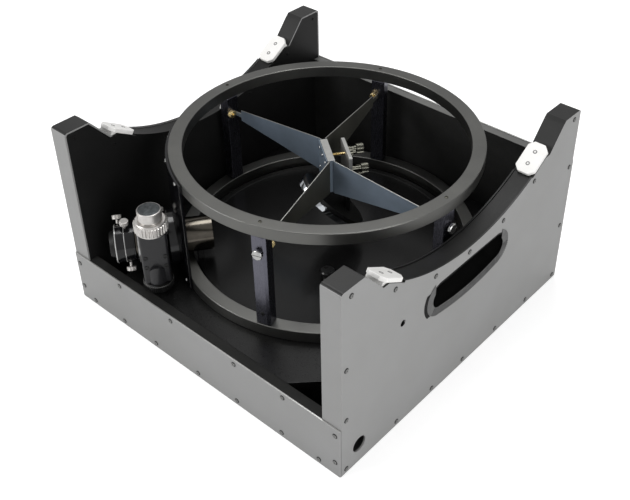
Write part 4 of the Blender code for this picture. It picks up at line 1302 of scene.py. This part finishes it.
@dataclass
class Secondary:
    """Tilting plate with its three adjusters, holder and mirror. Sizes in millimetres."""

    pivot: Triple = (0.0, 21.1, 198.0)
    plate_l: float = 23.5
    plate_t: float = 4.5
    plate_z: Range = (-38.0, 8.0)
    minor: float = 35.0
    glass_t: float = 7.0
    holder_t: float = 5.0
    arm_w: float = 20.0
    mirror_z: float = 125.0
    knob_ring: float = 16.5
    knob_angles: Triple = (7.0, 127.0, 247.0)
    knob_r: float = 6.0
    knob_l: float = 20.5
    sleeve_r: float = 4.0

    def oval(self, low: float, high: float) -> BMesh:
        """Make an elliptical plate, long way along Y.

        Args:
            low: Its front face.
            high: Its back face.

        Returns:
            The plate.
        """
        bm = bar(self.minor, low, high, steps=96)
        bmesh.ops.scale(bm, verts=bm.verts, vec=(1.0, math.sqrt(2.0), 1.0))
        return bm

    def build(self, spider: Matrix) -> None:
        """Make the plate, knobs, holder and mirror.

        Args:
            spider: The spider's frame.
        """
        place = spider @ at(*self.pivot)
        bm = block((-self.plate_l, self.plate_l), (0.0, self.plate_t), self.plate_z)
        round_edges(bm, 2.0, 4, lambda e: runs_along(e, Axis.Y))
        make_piece("adjuster_plate", round_edges(bm, 0.5, 2), HUB_ALLOY, Body.SECONDARY,
                   ("knob_plate",), place)
        tilt = at(0.0, -self.pivot[1], self.mirror_z - self.pivot[2]) @ \
            Matrix.Rotation(math.radians(-45.0), 4, "X")
        glass = round_edges(self.oval(0.0, self.glass_t), 0.5, 2)
        make_piece("secondary_glass", glass, MIRROR_COAT, Body.SECONDARY,
                   ("secondary_mirror",), place @ tilt)
        back = self.glass_t + GAP
        holder = moved(round_edges(self.oval(back, back + self.holder_t), 0.6, 2), tilt)
        depth = (back + self.holder_t) * math.sqrt(2.0)
        foot = self.mirror_z - self.pivot[2] + depth - self.pivot[1] - self.plate_t - 2.0
        arm = block((-self.arm_w / 2.0, self.arm_w / 2.0), (0.0, self.plate_t),
                    (foot, self.plate_z[0] - GAP))
        round_edges(arm, 0.6, 2)
        make_piece("secondary_holder", carve(holder, arm, Cut.ADD), BOX_LACQUER, Body.SECONDARY,
                   ("mirror_holder",), place)
        nut = joined([ribbed(5.2, 0.2, 5.4, 18, 0.4), bar(2.4, 5.0, 9.0, steps=24)])
        make_piece("rod_lock_nut", nut, DARK_STEEL, Body.SECONDARY,
                   place=place @ facing((0.0, self.plate_t, 0.0), (0, 1, 0)))
        middle = (self.plate_z[0] + self.plate_z[1]) / 2.0
        for number, degrees in enumerate(self.knob_angles, 1):
            angle = math.radians(degrees)
            spot = (self.knob_ring * math.cos(angle), self.plate_t + GAP,
                    middle + self.knob_ring * math.sin(angle))
            wide = self.sleeve_r
            sleeve = turned([(0.0, 0.0), (wide, 0.0), (wide, 3.0), (3.4, 3.3), (3.4, 8.6),
                             (wide, 9.0), (wide, 11.2), (0.0, 11.2)], 40)
            head = ribbed(self.knob_r, 11.0, self.knob_l, 24, 0.6, 0.7)
            make_piece("adjuster_knob_%d" % number, joined([sleeve, head]), DARK_STEEL,
                       "secondary_adjuster_%d" % number, ("secondary_knob_%d" % number,),
                       place @ facing(spot, (0, 1, 0)))


# ---------------------------------------------------------------- focuser


@dataclass
class Focuser:
    """Rack focuser on its curved plate; X runs out along the drawtube. Sizes in millimetres."""

    turn: float = -127.0
    axis_z: float = 106.5
    plate_t: float = 3.0
    plate_half: float = 19.0
    plate_z: Range = (70.8, 221.5)
    body_r: float = 27.0
    body_end: float = 236.0
    flange_r: float = 35.0
    flange_end: float = 199.0
    tube_r: float = 21.5
    tube_bore: float = 18.0
    tube_in: float = 145.0
    collar: Range = (238.0, 262.0)
    collar_r: float = 24.0
    pinion: Point = (216.0, 46.0)
    block_x: Range = (200.0, 232.0)
    block_y: Range = (20.0, 58.0)
    block_z: Range = (85.8, 155.0)
    coarse_r: float = 20.0
    coarse_flutes: int = 30
    fine_r: float = 14.2
    lower_r: float = 18.5
    lower_teeth: int = 44
    thumb_r: float = 5.6
    plug_top: float = 268.5

    @property
    def frame(self) -> Matrix:
        """Frame of the focuser on the cage's axis."""
        return at(*TUBE_AXIS) @ Matrix.Rotation(math.radians(self.turn), 4, "Z")

    @property
    def optic(self) -> Matrix:
        """Frame whose Z runs out along the drawtube."""
        return self.frame @ at(z=self.axis_z) @ Matrix.Rotation(math.pi / 2.0, 4, "Y")

    @property
    def lying(self) -> Matrix:
        """Turns a thing about Z to lie along X at the drawtube's height."""
        return at(z=self.axis_z) @ Matrix.Rotation(math.pi / 2.0, 4, "Y")

    def build(self) -> None:
        """Make the whole focuser."""
        self.build_plate()
        self.build_body()
        self.build_tube()
        self.build_knobs()
        self.build_thumbs()

    def build_plate(self) -> None:
        """Make the curved mounting plate, waisted on one side."""
        inner, outer = RING_RADIUS + GAP, RING_RADIUS + GAP + self.plate_t
        low, high = self.plate_z
        section = ((inner, 0.0, low), (outer, 0.0, low), (outer, 0.0, high), (inner, 0.0, high))
        bm = swept(section, Axis.Z, math.radians(self.plate_half), 40)
        waist = block((150.0, 215.0), (-95.0, -43.5), (95.0, 203.0))
        round_edges(waist, 26.0, 10, lambda e: runs_along(e, Axis.X) and e.verts[0].co.y > -50.0)
        bm = carve(bm, waist)
        bm = carve(bm, moved(bar(self.tube_r + 1.0, 140.0, 230.0, steps=64), self.lying))
        home = self.frame.inverted().to_3x3()

        def is_end(face: BMFace) -> bool:
            """Say whether a placed face breaks an upright outer edge of the plate."""
            normal = home @ face.normal
            return normal.x > 0.3 and abs(normal.y) > 0.6

        make_piece("focuser_mount", round_edges(bm, 1.0, 1), FOCUSER_GLOSS, Body.CAGE,
                   ("focuser_plate",), self.frame, (BARE_EDGE, is_end))
        spots = []
        for degrees, z in ((-15.0, 77.0), (15.0, 77.0), (-15.0, 217.5), (15.0, 217.5),
                           (0.0, 217.5)):
            angle = math.radians(degrees)
            out = Vector((math.cos(angle), math.sin(angle), 0.0))
            spots.append(facing((out.x * outer, out.y * outer, z), out))
        make_piece("mount_screws", copies(pan_head(2.4, 1.3), spots), NICKEL, Body.CAGE,
                   place=self.frame)

    def build_body(self) -> None:
        """Make the body: flange, barrel and the pinion's block."""
        outer = RING_RADIUS + GAP + self.plate_t
        bore = self.tube_r + 0.6
        bm = turned([(bore, outer - 8.0), (self.flange_r, outer - 8.0),
                     (self.flange_r, self.flange_end - 1.5), (self.flange_r - 1.5, self.flange_end),
                     (self.body_r + 2.0, self.flange_end), (self.body_r, self.flange_end + 2.0),
                     (self.body_r, self.body_end - 5.0), (self.body_r - 1.2, self.body_end - 4.6),
                     (self.body_r - 1.2, self.body_end - 3.6), (self.body_r, self.body_end - 3.2),
                     (self.body_r, self.body_end - 0.8), (self.body_r - 0.8, self.body_end),
                     (bore, self.body_end)], 128, True)
        body = moved(bm, self.lying)
        body = carve(body, bar(outer + GAP, 0.0, 300.0, steps=360))
        make_piece("focuser_barrel", body, FOCUSER_GLOSS, Body.CAGE, ("focuser_body",), self.frame,
                   (BARE_EDGE, within(self.optic, self.body_end - 3.3, self.body_end - 0.7,
                                      self.body_r - 0.3)))
        self.build_block(bore)

    def build_block(self, bore: float) -> None:
        """Make the pinion's block with its arched boss and screws.

        Args:
            bore: Radius cleared for the drawtube.
        """
        low, high = self.block_z
        middle, face = self.pinion[0], self.block_y[1]
        house = block(self.block_x, self.block_y, self.block_z)
        round_edges(house, 3.0, 4, lambda e: runs_along(e, Axis.Z) and e.verts[0].co.y > 50.0)
        round_edges(house, 0.8, 2)
        arch = block((middle - 9.0, middle + 9.0), (face - 6.0, face + 6.0), (low, low + 16.0))
        top = moved(bar(9.0, face - 6.0, face + 6.0, Axis.Y, 48), at(middle, 0.0, low + 16.0))
        arch = carve(arch, top, Cut.ADD)
        bulge = moved(bar(13.0, low, low + 40.0, steps=96), at(middle, face - 8.6))
        house = carve(house, carve(arch, bulge, Cut.KEEP), Cut.ADD)
        house = carve(house, moved(bar(bore, 190.0, 240.0, steps=96), self.lying))
        shaft = moved(bar(5.4, low - 5.0, high + 5.0, steps=32), at(*self.pinion))
        make_piece("pinion_block", carve(house, shaft), BLOCK_ANODISE, Body.CAGE,
                   place=self.frame)
        spots = [facing((middle + x, face, low + z), (0, 1, 0)) for x in (-11.5, 11.5)
                 for z in (24.0, 38.0)]
        make_piece("block_screws", copies(socket_head(3.0, 0.9), spots), KNOB_BLACK, Body.CAGE,
                   place=self.frame)

    def build_tube(self) -> None:
        """Make the drawtube, the eyepiece collar and its plug."""
        end = self.collar[0] - GAP
        profile = [(self.tube_bore, self.tube_in + 0.5), (self.tube_bore + 0.5, self.tube_in),
                   (self.tube_r - 0.4, self.tube_in), (self.tube_r, self.tube_in + 0.4),
                   (self.tube_r, end), (self.tube_bore, end)]
        for i in range(24):
            x = end - 6.0 - i * 1.5
            profile += [(self.tube_bore, x), (self.tube_bore + 0.45, x - 0.75)]
        make_piece("focus_tube", turned(profile, 96, True), DRAWTUBE_CHROME, Body.DRAWTUBE,
                   ("drawtube",), self.optic)
        low, high = self.collar
        radius = self.collar_r
        profile = [(16.1, low), (radius - 0.8, low), (radius, low + 0.8), (radius, low + 2.0),
                   (radius - 0.8, low + 2.3), (radius - 0.8, low + 12.0),
                   (radius - 0.3, low + 12.0 + 0.3), (radius - 0.3, low + 12.0 + 0.9),
                   (radius - 0.8, low + 12.0 + 1.2), (radius - 0.8, high - 1.4),
                   (radius - 0.3, high - 1.2), (radius - 0.3, high - 0.6),
                   (radius - 0.9, high), (16.9, high), (16.1, high - 0.8)]
        make_piece("eyepiece_ring", turned(profile, 96, True), FOCUSER_GLOSS, Body.DRAWTUBE,
                   ("eyepiece_collar",), self.optic,
                   (BARE_EDGE, within(self.optic, low + 4.0, high, radius - 0.75)))
        start, seat, top = low + 2.0, high + GAP, self.plug_top
        plug = turned([(0.0, start), (15.4, start), (15.8, start + 0.5), (15.8, seat),
                       (17.0, seat), (17.0, seat + 1.2), (16.4, seat + 1.8), (15.2, top - 0.6),
                       (14.6, top), (12.4, top), (11.8, top - 1.4), (0.0, top - 1.4)], 64)
        make_piece("holder_plug", plug, PLUG_PLASTIC, Body.PLUG, ("eyepiece_plug",), self.optic)

    def build_knobs(self) -> None:
        """Make the fluted coarse knob, the fine knob on it and the lower knob."""
        place = self.frame @ at(*self.pinion)
        top = self.block_z[1] + GAP
        shaft = turned([(0.0, 87.8), (5.0, 87.8), (5.0, top + 2.0), (0.0, top + 2.0)], 32)
        skirt = turned([(0.0, top), (17.6, top), (18.2, top + 0.6), (18.2, top + 2.4),
                        (0.0, top + 2.4)], 96)
        grip = ribbed(self.coarse_r, top + 2.2, top + 14.0, self.coarse_flutes, 1.3, 0.9)
        crown = turned([(0.0, top + 13.0), (18.0, top + 13.0), (18.0, top + 15.2),
                        (17.2, top + 16.0), (0.0, top + 16.0)], 96)
        make_piece("coarse_focus_knob", joined([shaft, skirt, grip, crown]), TURNED_ALLOY,
                   Body.COARSE, ("coarse_knob",), place)
        low = top + 16.3
        fine = turned([(0.0, low), (12.8, low), (12.8, low + 1.4), (self.fine_r, low + 1.9),
                       (self.fine_r, low + 12.9), (13.6, low + 13.5), (12.9, low + 13.7),
                       (8.0, low + 14.3), (0.0, low + 14.5)], 96)
        make_piece("fine_focus_knob", fine, TURNED_ALLOY, Body.FINE, ("fine_knob",), place,
                   (DARK_KNOB_TOP, lambda f: f.normal.z > 0.9 and f.calc_center_median().z
                    > low + 13.7))
        high = self.block_z[0] - GAP
        base = high - 12.6
        knurl = ribbed(self.lower_r, base + 2.4, high - 2.4, self.lower_teeth, 0.8, 0.5)
        flange = turned([(0.0, high - 2.6), (17.4, high - 2.6), (17.4, high), (5.0, high),
                         (5.0, 87.4), (0.0, 87.4)], 96)
        face = turned([(0.0, base), (15.6, base), (17.4, base + 1.4), (17.4, base + 2.6),
                       (0.0, base + 2.6)], 96)
        make_piece("lower_focus_knob", joined([knurl, flange, face]), KNOB_BLACK, Body.COARSE,
                   ("lower_knob",), place,
                   (KNURL_BARE, within(place, high - 4.4, high - 2.0, 17.45)))

    def thumb(self, name: str, body: str, x: float, degrees: float, seat: float,
              node: str) -> None:
        """Make one knurled thumb screw standing square on the tube.

        Args:
            name: The piece's name.
            body: The body it turns as.
            x: Where it stands along the drawtube.
            degrees: Its angle from straight up towards +Y.
            seat: Radius of what it stands on.
            node: The CAD node it is shown for.
        """
        angle = math.radians(degrees)
        out = Vector((0.0, math.sin(angle), math.cos(angle)))
        foot = Vector((x, 0.0, self.axis_z)) + out * (seat + GAP)
        stem = turned([(0.0, 0.0), (1.8, 0.0), (1.8, 5.1), (0.0, 5.1)], 24)
        head = ribbed(self.thumb_r, 5.0, 10.6, 24, 0.35, 0.5)
        make_piece(name, joined([stem, head]), TURNED_ALLOY, body, (node,),
                   self.frame @ facing(foot, out))

    def build_thumbs(self) -> None:
        """Make the three eyepiece screws and the drawtube's lock."""
        for number, (x, degrees) in enumerate(((257.0, -35.0), (248.5, 4.0), (247.0, 150.0)), 1):
            self.thumb("eyepiece_thumb_%d" % number, "eyepiece_clamp_%d" % number, x, degrees,
                       self.collar_r, "eyepiece_screw_%d" % number)
        self.thumb("tube_lock_thumb", Body.LOCK.value, 206.0, -28.0, self.body_r, "drawtube_lock")


# ---------------------------------------------------------------- studio


@dataclass
class Studio:
    """Plain pale floor, soft lamps and the camera, whose place is counted in unit_mm."""

    unit_mm: float = 440.0
    azimuth: float = 41.46
    elevation: float = 35.70
    roll: float = -0.42
    across: float = 0.0391
    up: float = 0.2809
    distance: float = 2.884
    lens: float = 55.34
    shift: Point = (-0.0317, -0.0952)
    sensor: float = 36.0
    floor_glow: float = 0.5
    ambient: float = 0.5
    aim: Triple = (0.0, 0.0, 0.12)

    def build(self) -> None:
        """Set the floor, world, lamps and camera."""
        self.build_floor()
        self.build_world()
        self.build_lamps()
        self.build_camera()
        bpy.context.scene.view_settings.view_transform = "Standard"

    def build_floor(self) -> None:
        """Lay a pale floor that shows white to the camera and keeps the shadow."""
        bm = bmesh.new()
        bmesh.ops.create_grid(bm, x_segments=8, y_segments=8, size=4.0)
        mesh = as_mesh("studio_floor", bm)
        floor = add_object("studio_floor", mesh)
        made = bpy.data.materials.new("pale_floor")
        made.use_nodes = True
        tree = made.node_tree
        shader = tree.nodes["Principled BSDF"]
        shader.inputs["Base Color"].default_value = srgb("e8e8e8")
        shader.inputs["Roughness"].default_value = 0.9
        shader.inputs["Specular IOR Level"].default_value = 0.1
        shader.inputs["Emission Color"].default_value = srgb("ffffff")
        path = add_node(tree, "ShaderNodeLightPath")
        lift = add_node(tree, "ShaderNodeMath", {"operation": "MULTIPLY"})
        lift.inputs[1].default_value = self.floor_glow
        tree.links.new(path.outputs["Is Camera Ray"], lift.inputs[0])
        tree.links.new(lift.outputs[0], shader.inputs["Emission Strength"])
        mesh.materials.append(made)

    def build_world(self) -> None:
        """Light the scene evenly and show white where the camera sees past it."""
        world = bpy.data.worlds.new("studio_world")
        bpy.context.scene.world = world
        world.use_nodes = True
        tree = world.node_tree
        tree.nodes.clear()
        path = add_node(tree, "ShaderNodeLightPath")
        plain = add_node(tree, "ShaderNodeBackground",
                         {"Color": srgb("ffffff"), "Strength": self.ambient})
        white = add_node(tree, "ShaderNodeBackground", {"Color": srgb("ffffff"), "Strength": 1.0})
        mix = add_node(tree, "ShaderNodeMixShader")
        tree.links.new(path.outputs["Is Camera Ray"], mix.inputs[0])
        tree.links.new(plain.outputs[0], mix.inputs[1])
        tree.links.new(white.outputs[0], mix.inputs[2])
        add_node(tree, "ShaderNodeOutputWorld", links={"Surface": mix.outputs[0]})

    def build_lamps(self) -> None:
        """Hang three soft lamps round the box."""
        for name, place, size, power in (
            ("key_softbox", (-1.2, -2.0, 1.2), 1.0, 24.0),
            ("top_softbox", (-0.5, 0.55, 2.35), 1.0, 19.0),
            ("right_softbox", (2.2, -0.6, 1.0), 1.2, 24.0),
        ):
            light = bpy.data.lights.new(name, "AREA")
            light.shape = "SQUARE"
            light.size = size
            light.energy = power
            lamp = add_object(name, light)
            lamp.location = place
            ray = Vector(self.aim) - Vector(place)
            lamp.rotation_euler = ray.to_track_quat("-Z", "Y").to_euler()

    def build_camera(self) -> None:
        """Stand the camera to the front right, above the box."""
        azimuth, elevation = math.radians(self.azimuth), math.radians(self.elevation)
        back = Vector((math.sin(azimuth) * math.cos(elevation),
                       -math.cos(azimuth) * math.cos(elevation), math.sin(elevation)))
        right = Vector((math.cos(azimuth), math.sin(azimuth), 0.0))
        up = back.cross(right)
        roll = math.radians(self.roll)
        level = right * math.cos(roll) + up * math.sin(roll)
        upright = up * math.cos(roll) - right * math.sin(roll)
        unit = self.unit_mm * MM
        data = bpy.data.cameras.new("front_camera")
        data.lens = self.lens
        data.sensor_width = self.sensor
        data.sensor_fit = "HORIZONTAL"
        data.shift_x, data.shift_y = self.shift
        camera = add_object("front_camera", data)
        turn = Matrix((level, upright, back)).transposed().to_4x4()
        spot = (back * self.distance + upright * self.up + level * self.across) * unit
        camera.matrix_world = at(*spot) @ turn
        bpy.context.scene.camera = camera


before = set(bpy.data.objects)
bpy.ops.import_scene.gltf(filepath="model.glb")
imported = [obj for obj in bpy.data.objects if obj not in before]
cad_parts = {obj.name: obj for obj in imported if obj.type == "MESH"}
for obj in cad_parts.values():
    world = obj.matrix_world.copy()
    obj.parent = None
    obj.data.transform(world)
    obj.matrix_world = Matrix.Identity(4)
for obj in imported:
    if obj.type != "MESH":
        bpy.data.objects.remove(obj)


def main() -> None:
    """Build every sub-assembly in order."""
    logging.basicConfig(level=logging.INFO, format="%(name)s: %(message)s")
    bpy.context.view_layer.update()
    RockerBox().build()
    MirrorBox().build()
    cage = Cage()
    cage.build()
    Secondary().build(cage.spider)
    Focuser().build()
    Studio().build()
    bpy.context.view_layer.update()


if __name__ == "__main__":
    main()
